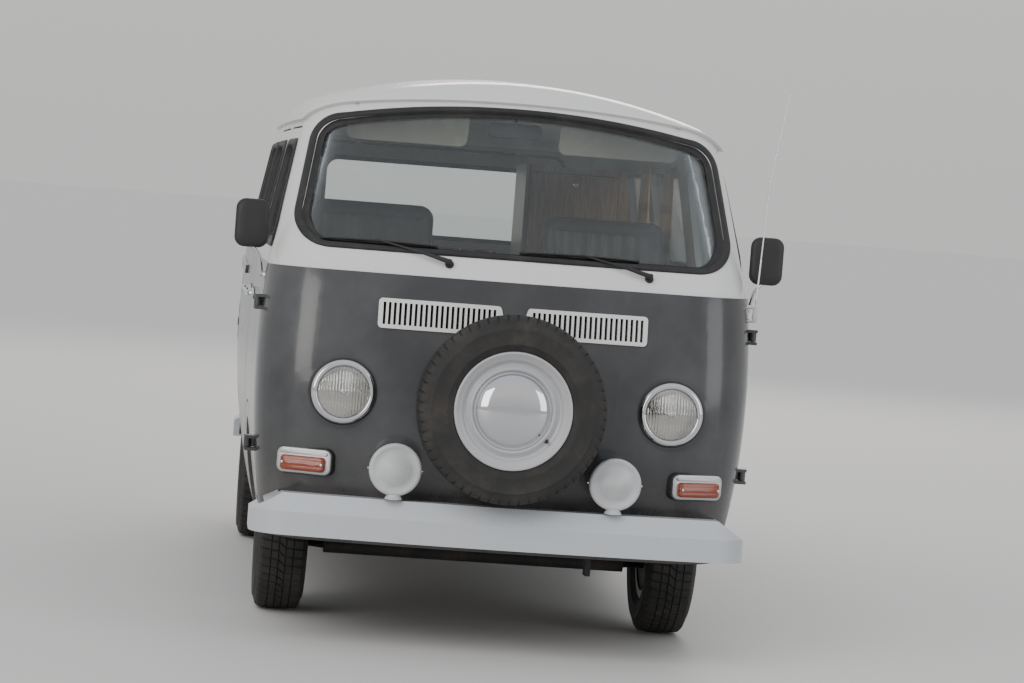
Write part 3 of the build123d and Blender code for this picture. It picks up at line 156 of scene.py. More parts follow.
class Finish:
    """One material: its Principled shader, and the nodes that feed it."""

    def __init__(self, name, **constants):
        self.material = bpy.data.materials.new(name)
        self.material.use_nodes = True
        self.tree = self.material.node_tree
        self.shader = self.tree.nodes["Principled BSDF"]
        self.output = self.tree.nodes["Material Output"]
        self.set(**constants)

    def set(self, **values):
        """Sets or links the shader's sockets, named with underscores for spaces."""
        for name, value in values.items():
            self.feed(self.shader.inputs[name.replace("_", " ")], value)

    def feed(self, socket, value):
        if isinstance(value, Value):
            self.tree.links.new(value.socket, socket)
        elif socket.type == "RGBA" and len(value) == 3:
            socket.default_value = (*value, 1.0)
        else:
            socket.default_value = value

    def node(self, kind, settings=None, *inputs, out=0, **named):
        """Adds a node: its settings first, then its sockets' values or links, by order or by name."""
        made = self.tree.nodes.new(kind)
        for setting, value in (settings or {}).items():
            setattr(made, setting, value)
        for place, value in enumerate(inputs):
            self.feed(made.inputs[place], value)
        for name, value in named.items():
            self.feed(made.inputs[name.replace("_", " ")], value)
        return Value(self, made.outputs[out])

    def place(self):
        """The point on the object, in its own metres."""
        return self.node("ShaderNodeTexCoord", out=3)

    def facing(self):
        """The surface's normal in the object's own axes."""
        return self.node("ShaderNodeTexCoord", out=1)

    def axis(self, name):
        """The place's X, Y or Z."""
        return self.node("ShaderNodeSeparateXYZ", None, self.place(), out=name)

    def vector(self, operation, *inputs, out=0):
        return self.node("ShaderNodeVectorMath", {"operation": operation}, *inputs, out=out)

    def stretched(self, *factors):
        """The place with each axis multiplied."""
        return self.vector("MULTIPLY", self.place(), factors)

    def dot(self, first, second):
        return self.vector("DOT_PRODUCT", first, second, out=1)

    def noise(self, scale, detail=2.0, roughness=0.5, at=None):
        place = at or self.place()
        return self.node("ShaderNodeTexNoise", Vector=place, Scale=scale, Detail=detail, Roughness=roughness)

    def cells(self, scale, feature="F1"):
        return self.node("ShaderNodeTexVoronoi", {"feature": feature}, Vector=self.place(), Scale=scale)

    def mix(self, share, first, second):
        """A colour between two colours."""
        made = self.node("ShaderNodeMix", {"data_type": "RGBA"}, out=2)
        sockets = made.socket.node.inputs
        for place, value in ((0, share), (6, first), (7, second)):
            self.feed(sockets[place], value)
        return made

    def soil(self, amount, share, tint, other, rough, more):
        """A colour and a roughness that move towards others where the amount is high."""
        self.set(Base_Color=self.mix(amount * share, tint, other), Roughness=rough + amount * more)

    def bump(self, height, strength, distance):
        """Tilts the surface's normal by a height map, which ends the material."""
        self.set(Normal=self.node("ShaderNodeBump", Strength=strength, Distance=distance, Height=height))
        return self.material

    def see_through(self, share, tint, **mirror):
        """Lets tinted light through but for the share that the mirror sends back, which ends the material."""
        clear = self.node("ShaderNodeBsdfTransparent", Color=tint)
        gloss = self.node("ShaderNodeBsdfGlossy", **mirror)
        blend = self.node("ShaderNodeMixShader", None, share, clear, gloss)
        self.feed(self.output.inputs["Surface"], blend)
        self.tree.nodes.remove(self.shader)
        return self.material


def shade(tint, factor):
    """A colour made darker or lighter."""
    return tuple(min(1.0, value * factor) for value in tint)


# Finishes


def body_enamel(name, lower, upper, lining):
    """Two-tone enamel outside, parted at the belt line, and plain boards inside."""
    finish = Finish(name, Coat_Roughness=0.08, IOR=1.5)
    z, cloud = finish.axis("Z"), finish.noise(2.2, 4.0, 0.6)
    two_tone = finish.mix(z > BELT, lower, upper)
    faded = finish.mix(cloud.rise(0.3, 0.75) * 0.10, two_tone, (0.42, 0.43, 0.43))
    road = (1.0 - z.rise(0.34, 0.78)) * (0.30 + finish.noise(9.0, 6.0, 0.7)).rise(0.55, 1.05)
    streaks = finish.noise(26.0, 3.0, 0.6, finish.stretched(1.0, 1.0, 0.06))
    dusty = finish.mix(road * 0.40 + streaks.rise(0.56, 0.80) * 0.07, faded, (0.16, 0.13, 0.10))
    chips = finish.cells(95.0).rise(0.06, 0.02) * finish.noise(12.0, 3.0).rise(0.60, 0.70)
    chipped = finish.mix(chips * (1.0 - z.rise(0.45, 0.95)) * 0.8, dusty, (0.11, 0.085, 0.07))
    from_middle = finish.vector("SUBTRACT", finish.place(), (0.0, 0.0, 1.10))
    outward = finish.vector("MULTIPLY", from_middle, (1 / 0.86, 1 / 2.10, 1 / 0.85))
    inside = finish.dot(finish.facing(), outward) < -0.80
    board = finish.mix(finish.noise(40.0, 5.0).rise(0.35, 0.7) * 0.25, lining, shade(lining, 0.72))
    finish.set(
        Base_Color=finish.mix(inside, chipped, board),
        Roughness=0.20 + inside * 0.34 + road * 0.32 + cloud.rise(0.4, 0.8) * 0.07,
        Coat_Weight=(1.0 - inside) * (1.0 - road) * 0.35,
    )
    grain = finish.noise(380.0, 2.0) * 0.22 + inside * finish.cells(420.0) * 1.4
    return finish.bump(grain + cloud * 0.9, 0.10, 0.0012)


def plain_enamel(name, tint, chip=(0.22, 0.16, 0.12), rough=0.24, wear=0.6):
    """One-colour enamel with small chips and a little grime."""
    finish = Finish(name, Coat_Weight=0.35, Coat_Roughness=0.10)
    cloud = finish.noise(6.0, 5.0, 0.62)
    grime = finish.noise(34.0, 6.0, 0.7).rise(0.52, 0.82)
    base = finish.mix(grime * 0.22 * wear, tint, shade(tint, 0.42))
    chips = finish.cells(120.0).rise(0.075, 0.03) * finish.noise(9.0, 3.0).rise(0.58, 0.66)
    finish.set(
        Base_Color=finish.mix(chips * wear, base, chip),
        Roughness=rough + cloud.rise(0.35, 0.75) * 0.14 + grime * 0.12,
    )
    return finish.bump(finish.noise(300.0, 2.0) * 0.2 + cloud, 0.10, 0.001)


def window_glass(name):
    """Clear pane: it lets light through and mirrors more of it at a low angle."""
    finish = Finish(name)
    film = finish.noise(5.0, 5.0, 0.7).rise(0.45, 0.85) * 0.020
    share = finish.node("ShaderNodeFresnel", None, 1.45) * 0.85 + film + 0.012
    return finish.see_through(share, (0.93, 0.95, 0.94), Color=(0.96, 0.98, 1.0), Roughness=0.015)


def headlamp_glass(name):
    """Clear pressed glass with upright flutes."""
    finish = Finish(name)
    flutes = (finish.axis("X") * 620.0).sine() * 0.8 + (finish.axis("Z") * 150.0).sine() * 0.3
    tilt = finish.node("ShaderNodeBump", Strength=0.55, Distance=0.0016, Height=flutes)
    share = finish.node("ShaderNodeFresnel", None, 1.5, tilt) + 0.16 + flutes.rise(0.2, 1.0) * 0.16
    return finish.see_through(share, (0.93, 0.94, 0.93), Roughness=0.06, Normal=tilt)


def rubber(name):
    """Moulded rubber, greyed by dust and weather."""
    finish = Finish(name, Specular_IOR_Level=0.42)
    bloom = finish.noise(14.0, 6.0, 0.72).rise(0.42, 0.80)
    finish.soil(bloom, 0.35, (0.016, 0.016, 0.017), (0.085, 0.078, 0.068), 0.52, 0.20)
    return finish.bump(finish.noise(520.0, 3.0), 0.22, 0.0006)


def tyre_rubber(name):
    """Tyre rubber with dusty shoulders and a finely pitted skin."""
    finish = Finish(name, Specular_IOR_Level=0.38)
    bloom = finish.noise(9.0, 7.0, 0.75).rise(0.40, 0.78)
    fine = finish.noise(160.0, 4.0, 0.7)
    dust = bloom * 0.34 + fine.rise(0.6, 0.85) * 0.10
    finish.set(
        Base_Color=finish.mix(dust, (0.020, 0.0195, 0.0195), (0.115, 0.098, 0.080)),
        Roughness=0.66 + bloom * 0.18,
    )
    return finish.bump(fine + finish.cells(700.0) * 0.5, 0.30, 0.0007)


def bright_metal(name, tint=(0.62, 0.63, 0.65), rough=0.055, pits=0.5):
    """Chrome plate or polished steel with faint haze and pin-prick pits."""
    finish = Finish(name, Metallic=1.0)
    haze = finish.noise(11.0, 6.0, 0.72).rise(0.45, 0.82)
    spots = finish.cells(210.0).rise(0.05, 0.02) * finish.noise(16.0, 3.0).rise(0.58, 0.68)
    finish.soil(spots, pits, tint, (0.20, 0.15, 0.11), rough + haze * 0.07, 0.4)
    return finish.bump(finish.noise(240.0, 2.0), 0.03, 0.0005)


def brushed_metal(name, tint):
    """Dull metal with fine drawn lines."""
    finish = Finish(name, Metallic=1.0)
    lines = finish.noise(90.0, 5.0, 0.7, finish.stretched(1.0, 9.0, 9.0))
    finish.soil(lines, 0.5, tint, shade(tint, 0.6), 0.34, 0.16)
    return finish.bump(lines, 0.12, 0.0006)


def moulded_plastic(name, tint, rough=0.42, grain=0.35):
    """Plastic with a fine leathery grain."""
    finish = Finish(name)
    cloud = finish.noise(13.0, 4.0)
    lighter = finish.mix(cloud.rise(0.35, 0.75) * 0.30, tint, shade(tint, 1.7))
    finish.set(Base_Color=lighter, Roughness=rough + cloud * 0.12)
    return finish.bump(finish.cells(560.0, "SMOOTH_F1"), grain, 0.0007)


def lens(name, tint, clear=0.35):
    """Moulded lamp lens: tinted, half clear, with level ribs."""
    finish = Finish(name, Transmission_Weight=clear, Coat_Weight=0.7, Coat_Roughness=0.04, IOR=1.49)
    ripple = finish.dot(finish.place(), (0.0, 0.0, 380.0)).sine()
    darker = ripple.rise(-1.0, 1.0) * 0.25 + finish.noise(30.0, 3.0) * 0.12
    finish.set(
        Base_Color=finish.mix(darker, tint, shade(tint, 0.55)),
        Roughness=0.12 + finish.noise(60.0, 4.0).rise(0.4, 0.8) * 0.10,
    )
    return finish.bump(ripple, 0.5, 0.0012)


def seat_vinyl(name, tint):
    """Leather-grained vinyl with a soft shine where it is worn."""
    finish = Finish(name, Coat_Weight=0.12, Coat_Roughness=0.35)
    creases = finish.cells(420.0, "DISTANCE_TO_EDGE").rise(0.0, 0.12)
    finish.soil(finish.noise(7.0, 5.0, 0.6).rise(0.42, 0.72), 0.35, tint, shade(tint, 2.0), 0.52, -0.14)
    return finish.bump(creases + finish.noise(900.0, 2.0) * 0.2, 0.14, 0.0005)


def checked_cloth(name, ground):
    """Woven wool cloth in a plain check of three warm colours."""
    finish = Finish(name, Sheen_Weight=0.35, Sheen_Roughness=0.5, Specular_IOR_Level=0.2)
    x, run = finish.axis("X"), finish.axis("Y") + finish.axis("Z")
    broad = ((x * 7.5) % 1.0 < 0.34) * 0.5 + ((run * 7.5) % 1.0 < 0.34) * 0.5
    narrow = ((x * 7.5 + 0.5) % 1.0 < 0.06).higher_of((run * 7.5 + 0.5) % 1.0 < 0.06)
    threads = (x * 2900.0).sine() * (run * 2900.0).sine()
    base = finish.mix(broad, ground, shade(ground, 0.28))
    lined = finish.mix(narrow * 0.8, base, (0.62, 0.48, 0.26))
    finish.set(
        Base_Color=finish.mix(threads.rise(-0.2, 1.0) * 0.25, lined, (0.05, 0.035, 0.02)),
        Roughness=0.88 + finish.noise(30.0) * 0.08,
    )
    return finish.bump(threads + finish.noise(420.0, 3.0), 0.55, 0.0008)


def curtain_cotton(name, tint):
    """Loose cotton with faint woven bands."""
    finish = Finish(name, Sheen_Weight=0.25, Specular_IOR_Level=0.15)
    y, z = finish.axis("Y"), finish.axis("Z")
    bands = (z * 42.0).sine().rise(0.55, 0.95)
    threads = (z * 3000.0).sine() * (y * 3000.0).sine()
    finish.set(Base_Color=finish.mix(bands * 0.45, tint, shade(tint, 0.55)), Roughness=0.86 + threads * 0.05)
    return finish.bump(threads + finish.noise(300.0, 3.0), 0.4, 0.0006)


def veneer(name, tint):
    """Varnished wood veneer with its grain upright."""
    finish = Finish(name, Coat_Weight=0.25, Coat_Roughness=0.25)
    along = finish.stretched(14.0, 14.0, 0.9)
    rings = (finish.noise(2.4, 6.0, 0.66, along) * 38.0).sine()
    pores = finish.noise(30.0, 3.0, 0.6, along)
    darker = rings.rise(-0.6, 1.0) * 0.55 + pores.rise(0.55, 0.75) * 0.25
    finish.set(Base_Color=finish.mix(darker, tint, shade(tint, 0.42)), Roughness=0.38 + pores * 0.18)
    return finish.bump(pores + rings * 0.2, 0.18, 0.0005)


def ribbed_mat(name):
    """Rubber mat with long ribs, greyed by feet."""
    finish = Finish(name)
    trodden = finish.noise(5.0, 6.0, 0.7).rise(0.45, 0.8)
    finish.soil(trodden, 0.4, (0.018, 0.018, 0.019), (0.10, 0.085, 0.065), 0.62, 0.2)
    return finish.bump((finish.axis("X") * 520.0).sine() + finish.noise(300.0) * 0.3, 0.5, 0.0012)


def underseal(name):
    """Pebbly black underbody coating with road dirt on it."""
    finish = Finish(name)
    dirt = finish.noise(6.0, 7.0, 0.75).rise(0.42, 0.75)
    finish.soil(dirt, 0.55, (0.020, 0.020, 0.021), (0.13, 0.10, 0.075), 0.70, 0.2)
    return finish.bump(finish.noise(150.0, 5.0, 0.7), 0.6, 0.002)


def cast_metal(name, tint=(0.17, 0.165, 0.16), rust=0.2, metallic=0.8):
    """Sand-cast or rolled metal with oil and rust on it."""
    finish = Finish(name, Metallic=metallic)
    finish.soil(finish.noise(8.0, 7.0, 0.75).rise(0.45, 0.75), rust, tint, (0.16, 0.065, 0.03), 0.48, 0.35)
    return finish.bump(finish.noise(220.0, 5.0, 0.7), 0.5, 0.0012)


def dial_face(name, place, radius):
    """Black instrument face with a ring of pale marks and an orange hand, about the place it is set at."""
    finish = Finish(name, Coat_Weight=1.0, Coat_Roughness=0.03)
    from_middle = finish.vector("SUBTRACT", finish.place(), tuple(place.translation))
    across, up = (finish.dot(from_middle, tuple(place.col[axis].to_3d() / radius)) for axis in (0, 1))
    far = (across * across + up * up) ** 0.5
    marks = ((up.turn_from(across) * (36 / (2 * pi))) % 1.0 < 0.16) * (far > 0.74) * (far < 0.88)
    hand = (abs(across * 0.72 + up * 0.69) < 0.022) * (far < 0.70) * (up > 0.0)
    marked = finish.mix(marks, (0.012, 0.012, 0.013), (0.75, 0.75, 0.70))
    finish.set(
        Base_Color=finish.mix(hand, marked, (0.85, 0.22, 0.03)), Roughness=0.35 + finish.noise(20.0) * 0.1
    )
    return finish.material


FINISHES = {}


def finish_all(colours):
    """Makes every finish once."""
    lower, upper, lining = colours.lower, colours.upper, colours.lining
    FINISHES.update(
        body=body_enamel("body_enamel", lower, upper, lining),
        roof=body_enamel("roof_enamel", upper, upper, (0.60, 0.58, 0.52)),
        white=plain_enamel("white_enamel", upper, wear=0.35),
        # White paint darkened and blued to its look in shade: painted shade
        bumper=plain_enamel("bumper_enamel_shaded_white", colours.bumper, rough=0.28),
        # White paint darkened to its grey look in shade: painted shade
        rim=plain_enamel("rim_enamel_shaded_white", colours.rim, chip=(0.16, 0.10, 0.07), rough=0.30, wear=0.5),
        glass=window_glass("window_glass"),
        seal=rubber("seal_rubber"),
        tyre=tyre_rubber("tyre_rubber"),
        chrome=bright_metal("chrome_plate"),
        steel=brushed_metal("brushed_steel", (0.55, 0.55, 0.55)),
        reflector=bright_metal("lamp_reflector", (0.90, 0.88, 0.84), 0.10, 0.1),
        mirror=bright_metal("mirror_glass", (0.88, 0.90, 0.92), 0.01, 0.0),
        headlamp=headlamp_glass("headlamp_glass"),
        cover=moulded_plastic("white_cover", (0.40, 0.41, 0.42), 0.30, 0.10),
        amber=lens("amber_lens", colours.amber),
        red=lens("red_lens", colours.red),
        clear=lens("clear_lens", (0.80, 0.80, 0.78), 0.6),
        black=moulded_plastic("black_plastic", (0.014, 0.014, 0.015)),
        dash=moulded_plastic("padded_dash", (0.018, 0.017, 0.017), 0.55, 0.6),
        knob=moulded_plastic("ivory_knob", (0.50, 0.46, 0.38), 0.30, 0.05),
        vinyl=seat_vinyl("seat_vinyl", colours.vinyl),
        cloth=checked_cloth("checked_cloth", colours.cloth),
        piping=seat_vinyl("seat_piping", (0.020, 0.018, 0.016)),
        card=seat_vinyl("trim_board", lining),
        curtain=curtain_cotton("curtain_cotton", colours.curtain),
        wood=veneer("unit_veneer", colours.wood),
        worktop=moulded_plastic("worktop_laminate", (0.55, 0.52, 0.44), 0.30, 0.08),
        mat=ribbed_mat("ribbed_mat"),
        # Near-black sheet behind the grille's slots: painted shade for the intake behind them
        gauze=moulded_plastic("grille_gauze", (0.010, 0.010, 0.011), 0.65, 0.8),
        under=underseal("underseal"),
        engine=cast_metal("cast_engine"),
        exhaust=cast_metal("rusty_exhaust", (0.20, 0.17, 0.14), 0.8, 0.5),
        plate=plain_enamel("blank_plate", (0.70, 0.70, 0.66), wear=0.3),
    )


# Shapes


def linked(name, data):
    """A new object in the scene."""
    made = bpy.data.objects.new(name, data)
    bpy.context.scene.collection.objects.link(made)
    return made


def dress(data, finishes, extra=()):
    """Puts the named finishes on a mesh, and extra ones after them."""
    data.materials.clear()
    for material in [FINISHES[finish] for finish in finishes.split()] + list(extra):
        data.materials.append(material)


def moved(place, x, y=0, z=0):
    """The place moved along its own axes, in millimetres."""
    return place @ Matrix.Translation((x / 1000, y / 1000, z / 1000))


def within(place, x, y, z):
    """A point given in the place's millimetres."""
    return place @ (Vector((x, y, z)) / 1000)


def shares(steps):
    """Even steps from 0 to 1."""
    return [step / steps for step in range(steps + 1)]


def arc(steps):
    """The sine and cosine at even steps of a quarter turn."""
    return [(sin(pi / 2 * share), cos(pi / 2 * share)) for share in shares(steps)]


def around(steps):
    """The cosine and sine at even steps of a whole turn."""
    return [(cos(2 * pi * step / steps), sin(2 * pi * step / steps)) for step in range(steps)]


class Form:
    """Vertices and faces gathered from simple shapes, each face marked with its finish."""

    PATCH_LEVELS = ((0, 1), (0.25, 1), (0.50, 1), (0.75, 1), (0.90, 1), (0.975, 0.93))
    CROWN_LEVELS = ((0, 1), (0.30, 0.96), (0.60, 0.80), (0.85, 0.45))

    def __init__(self):
        self.points, self.faces, self.marks = [], [], []

    def add(self, points, faces, mark=0):
        start = len(self.points)
        self.points += [Vector(point) for point in points]
        self.faces += [tuple(start + i for i in face) for face in faces]
        self.marks += [mark] * len(faces)

    def rings(self, rings, mark=0, closed=False, round_trip=False, caps=False):
        """A skin through rings of equal length; closed joins each ring, round_trip the last to the first."""
        count, across = len(rings), len(rings[0])
        faces = []
        for i in range(count if round_trip else count - 1):
            for j in range(across if closed else across - 1):
                a, b = i * across, (i + 1) % count * across
                faces.append((a + j, a + (j + 1) % across, b + (j + 1) % across, b + j))
        if caps:
            faces += [tuple(range(across))[::-1], tuple((count - 1) * across + j for j in range(across))]
        self.add([point for ring in rings for point in ring], faces, mark)

    def solid(self, rings, mark=0):
        """A closed skin through closed rings, with a cap at each end."""
        self.rings(rings, mark, closed=True, caps=True)

    def turned(self, profile, place, steps=64, mark=0):
        """A profile of (radius, distance along the axis) turned about the place's Z."""
        rings = [[within(place, r * x, r * y, h) for r, h in profile] for x, y in around(steps)]
        self.rings(rings, mark, round_trip=True)

    def slab(self, outline, place, bottom, top, mark=0, edge=0, steps=3):
        """A flat plate in the place's XY with a rounded rectangle's outline and a rounded upper edge."""
        outline = [Vector(point) for point in rounded(*outline)]
        centre = sum(outline, Vector((0, 0))) / len(outline)
        levels = [(bottom, 0), (top, 0)]
        if edge:
            levels[1:] = [(top - edge * (1 - rise), edge * (1 - run)) for rise, run in arc(steps)]
        rings = []
        for height, inset in levels:
            flat = [centre + (point - centre) * (1 - inset / (point - centre).length) for point in outline]
            rings.append([within(place, x, y, height) for x, y in flat])
        self.solid(rings, mark)

    def patch(self, skin, outline, place, lift, mark, crown=False):
        """A thin plate with a rounded rectangle's outline that follows the skin, seen along the place's Z."""
        outline = [Vector(point) / 1000 for point in rounded(*outline)]
        middle = sum(outline, Vector((0, 0))) / len(outline)
        levels = [(scale, lift * share) for scale, share in (self.CROWN_LEVELS if crown else self.PATCH_LEVELS)]
        rings = []
        for scale, height in [*levels, (1, -1.0 if crown else -1.5)]:
            ring = []
            for x, y in (middle.lerp(edge, scale) for edge in outline):
                point, out = skin.at(place @ Vector((x, y, 0.12)), -place.col[2].to_3d())
                ring.append(point + out * height / 1000)
            rings.append(ring)
        self.rings(rings, mark, closed=True)

    def tube(self, path, radius, mark=0, steps=12, place=None):
        """A round tube along a path, in metres or in the place's millimetres; radius is one number or many."""
        path = [Vector(point) if place is None else within(place, *point) for point in path]
        radii = radius if hasattr(radius, "__len__") else [radius] * len(path)
        rings, side = [], None
        for i, point in enumerate(path):
            ahead = (path[min(i + 1, len(path) - 1)] - path[max(i - 1, 0)]).normalized()
            if side is None:
                side = ahead.orthogonal().normalized()
            side = (side - ahead * side.dot(ahead)).normalized()
            other, reach = ahead.cross(side), radii[i] / 1000
            rings.append([point + (side * x + other * y) * reach for x, y in around(steps)])
        self.solid(rings, mark)

    def ribbon(self, path, profile, mark=0):
        """A closed strip. Path holds (point, outward normal, direction away from the middle), in metres."""
        rings = [[point + away * b + normal * n for b, n in profile] for point, normal, away in path]
        self.rings(rings, mark, closed=True, round_trip=True)

    def loop(self, path, radius, facing=UP):
        """A round tube along a closed path that lies about square to a direction."""
        rings = []
        for i, point in enumerate(path):
            ahead = (path[(i + 1) % len(path)] - path[i - 1]).normalized()
            side = ahead.cross(facing).normalized()
            rings.append([point + (side * x + ahead.cross(side) * y) * radius / 1000 for x, y in around(8)])
        self.rings(rings, closed=True, round_trip=True)

    def mesh(self, name):
        data = bpy.data.meshes.new(name)
        data.from_pydata(self.points, [], self.faces)
        return data

    def object(self, name, body, finishes, slot, sharp, replaces=None, extra=()):
        """The finished piece, riding on a body. Extra holds finishes of its own alone."""
        data = self.mesh(name)
        dress(data, finishes, extra)
        data.polygons.foreach_set("material_index", self.marks)
        return as_piece(data, name, body, sharp, replaces)


def as_piece(data, name, body, sharp, replaces=None):
    """Smooths a mesh up to an angle and makes it a piece on a body, in the stead of a frame node if named."""
    mesh = bmesh.new()
    mesh.from_mesh(data)
    bmesh.ops.remove_doubles(mesh, verts=mesh.verts, dist=1e-6)
    bmesh.ops.recalc_face_normals(mesh, faces=mesh.faces)
    for face in mesh.faces:
        face.smooth = True
    for edge in mesh.edges:
        edge.smooth = not (edge.is_manifold and edge.calc_face_angle(0.0) > radians(sharp))
    mesh.to_mesh(data)
    mesh.free()
    piece = linked(name, data)
    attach(piece, body)
    if replaces:
        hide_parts(replaces)
    return piece


def pointing(origin, along, up=UP):
    """A place whose Z runs along a direction and whose X lies level."""
    z = Vector(along).normalized()
    x = up.cross(z)
    x = x.normalized() if x.length > 1e-6 else LEFT
    return based(origin, x, z.cross(x), z)


def based(origin, *axes):
    """A place with these axes."""
    place = Matrix(axes).transposed().to_4x4()
    place.translation = origin
    return place


def rounded(width, height, radius, steps=6, centre=(0, 0)):
    """A rectangle with round corners, anticlockwise."""
    points = []
    for quarter, (sx, sy) in enumerate(((1, 1), (-1, 1), (-1, -1), (1, -1))):
        middle_x, middle_y = centre[0] + sx * (width / 2 - radius), centre[1] + sy * (height / 2 - radius)
        for step in range(steps + 1):
            angle = pi / 2 * (quarter + step / steps)
            points.append((middle_x + radius * cos(angle), middle_y + radius * sin(angle)))
    return points


def mirrored(point, side):
    """A point given for the +X side, on the side asked for."""
    return Vector((point[0] * side, point[1], point[2]))


class Skin:
    """The outside of some frame nodes, for setting trim on."""

    CLEAR_SIDE, CLEAR_END = 1.4, 3.0

    def __init__(self, *names):
        points, faces = [], []
        for name in names:
            data = frame["nodes"][name].data
            start = len(points)
            points += [vertex.co.copy() for vertex in data.vertices]
            faces += [tuple(start + i for i in polygon.vertices) for polygon in data.polygons]
        self.tree = BVHTree.FromPolygons(points, faces)

    def at(self, origin, direction):
        """Where a ray meets the skin, and the skin's outward normal there."""
        direction = Vector(direction).normalized()
        point, normal, _, _ = self.tree.ray_cast(Vector(origin), direction)
        if point is None:
            raise RuntimeError(f"no skin in the way of a ray from {tuple(origin)}")
        return point, normal if normal.dot(direction) < 0 else -normal

    def outside(self, side, y, z):
        """Where a ray from beside the van meets the skin."""
        return self.at((side * self.CLEAR_SIDE, y, z), (-side, 0, 0))

    def ahead(self, x, z):
        """Where a ray from in front of the van meets the skin."""
        return self.at((x, -self.CLEAR_END, z), BACK)

    def behind(self, z):
        """Where a ray from behind the van meets the skin at its middle."""
        return self.at((0, self.CLEAR_END, z), -BACK)


def panes(name, least=0.02):
    """Each pane of a glass node: the loop round its outer face, as (point, normal, direction away)."""
    mesh = bmesh.new()
    mesh.from_mesh(frame["nodes"][name].data)
    bmesh.ops.remove_doubles(mesh, verts=mesh.verts, dist=2e-5)
    mesh.faces.ensure_lookup_table()
    found, seen = [], set()
    for seed in mesh.faces:
        if seed.index in seen:
            continue
        group, queue = {}, [seed]
        seen.add(seed.index)
        while queue:
            face = queue.pop()
            group[face] = True
            for other in (other for edge in face.edges for other in edge.link_faces):
                if other.index not in seen and face.normal.angle(other.normal, 0.0) < radians(30):
                    seen.add(other.index)
                    queue.append(other)
        area = sum(face.calc_area() for face in group)
        middle = sum((face.calc_center_median() * face.calc_area() for face in group), Vector()) / area
        normal = sum((face.normal * face.calc_area() for face in group), Vector()) / area
        outward = Vector((middle.x / 0.8, middle.y / 2.1, (middle.z - 1.3) * 0.3))
        if area > least and normal.dot(outward) > 0.3:
            found.append(loop_round(group))
    mesh.free()
    return found


def loop_round(group, spacing=0.012):
    """The ordered edge of a group of faces, resampled evenly."""
    follows, normals = {}, {}
    for face in group:
        for loop in face.loops:
            normals[loop.vert] = normals.get(loop.vert, Vector()) + face.normal * loop.calc_angle()
            if not any(other in group for other in loop.edge.link_faces if other is not face):
                follows[loop.vert] = loop.link_loop_next.vert
    start = next(iter(follows))
    ring, vert = [start], follows[start]
    while vert is not start:
        ring.append(vert)
        vert = follows[vert]
    return evenly([vert.co.copy() for vert in ring], [normals[vert].normalized() for vert in ring], spacing)


def evenly(points, facing, spacing):
    """A closed loop resampled at even steps, with its normals and the direction away from its middle."""
    lengths = [(b - a).length for a, b in zip(points, points[1:] + points[:1])]
    total = sum(lengths)
    count = max(12, round(total / spacing))
    path, covered, i = [], 0.0, 0
    for step in range(count):
        target = total * step / count
        while covered + lengths[i] < target:
            covered += lengths[i]
            i += 1
        share = (target - covered) / max(lengths[i], 1e-9)
        j = (i + 1) % len(points)
        path.append((points[i].lerp(points[j], share), facing[i].lerp(facing[j], share).normalized()))
    middle = sum((point for point, _ in path), Vector()) / count
    loop = []
    for k, (point, normal) in enumerate(path):
        away = (path[(k + 1) % count][0] - path[k - 1][0]).cross(normal).normalized()
        loop.append((point, normal, away if away.dot(point - middle) >= 0 else -away))
    return loop


def evaluated(piece):
    """A new mesh of the piece with its modifiers' result."""
    depsgraph = bpy.context.evaluated_depsgraph_get()
    return bpy.data.meshes.new_from_object(piece.evaluated_get(depsgraph))


def swollen(name, form, voxel, cap, frames=20, pressure=4.0):
    """The closed form, evenly meshed and blown up by a short cloth simulation, no point past the cap."""
    soft = linked(name, form.mesh(name))
    remesh = soft.modifiers.new("even_mesh", "REMESH")
    remesh.mode, remesh.voxel_size = "VOXEL", voxel
    soft.data = evaluated(soft)
    soft.modifiers.clear()
    cloth = soft.modifiers.new("padding", "CLOTH")
    cloth.settings.use_pressure = True
    cloth.settings.uniform_pressure_force = pressure
    cloth.settings.effector_weights.gravity = 0.0
    cloth.settings.quality = 4
    cloth.point_cache.frame_start, cloth.point_cache.frame_end = 1, frames
    for step in range(1, frames + 1):
        bpy.context.scene.frame_set(step)
    blown = evaluated(soft)
    for point, rest in zip(blown.vertices, soft.data.vertices):
        move = point.co - rest.co
        far = max(move.length, 1e-9)
        point.co = rest.co + move * (cap * tanh(far / cap) / far)
    soft.modifiers.clear()
    soft.data = blown
    bpy.context.scene.frame_set(1)
    finer = soft.modifiers.new("finer", "SUBSURF")
    finer.levels = finer.render_levels = 1
    data = evaluated(soft)
    bpy.data.objects.remove(soft)
    return data


def clamped(value, low=0.0, high=1.0):
    return min(high, max(low, value))


SEAM_DEPTH, SEAM_WIDTH = 0.0075, 0.0055
PIPING_LIFT, PIPING_RADIUS = 0.0008, 3.4


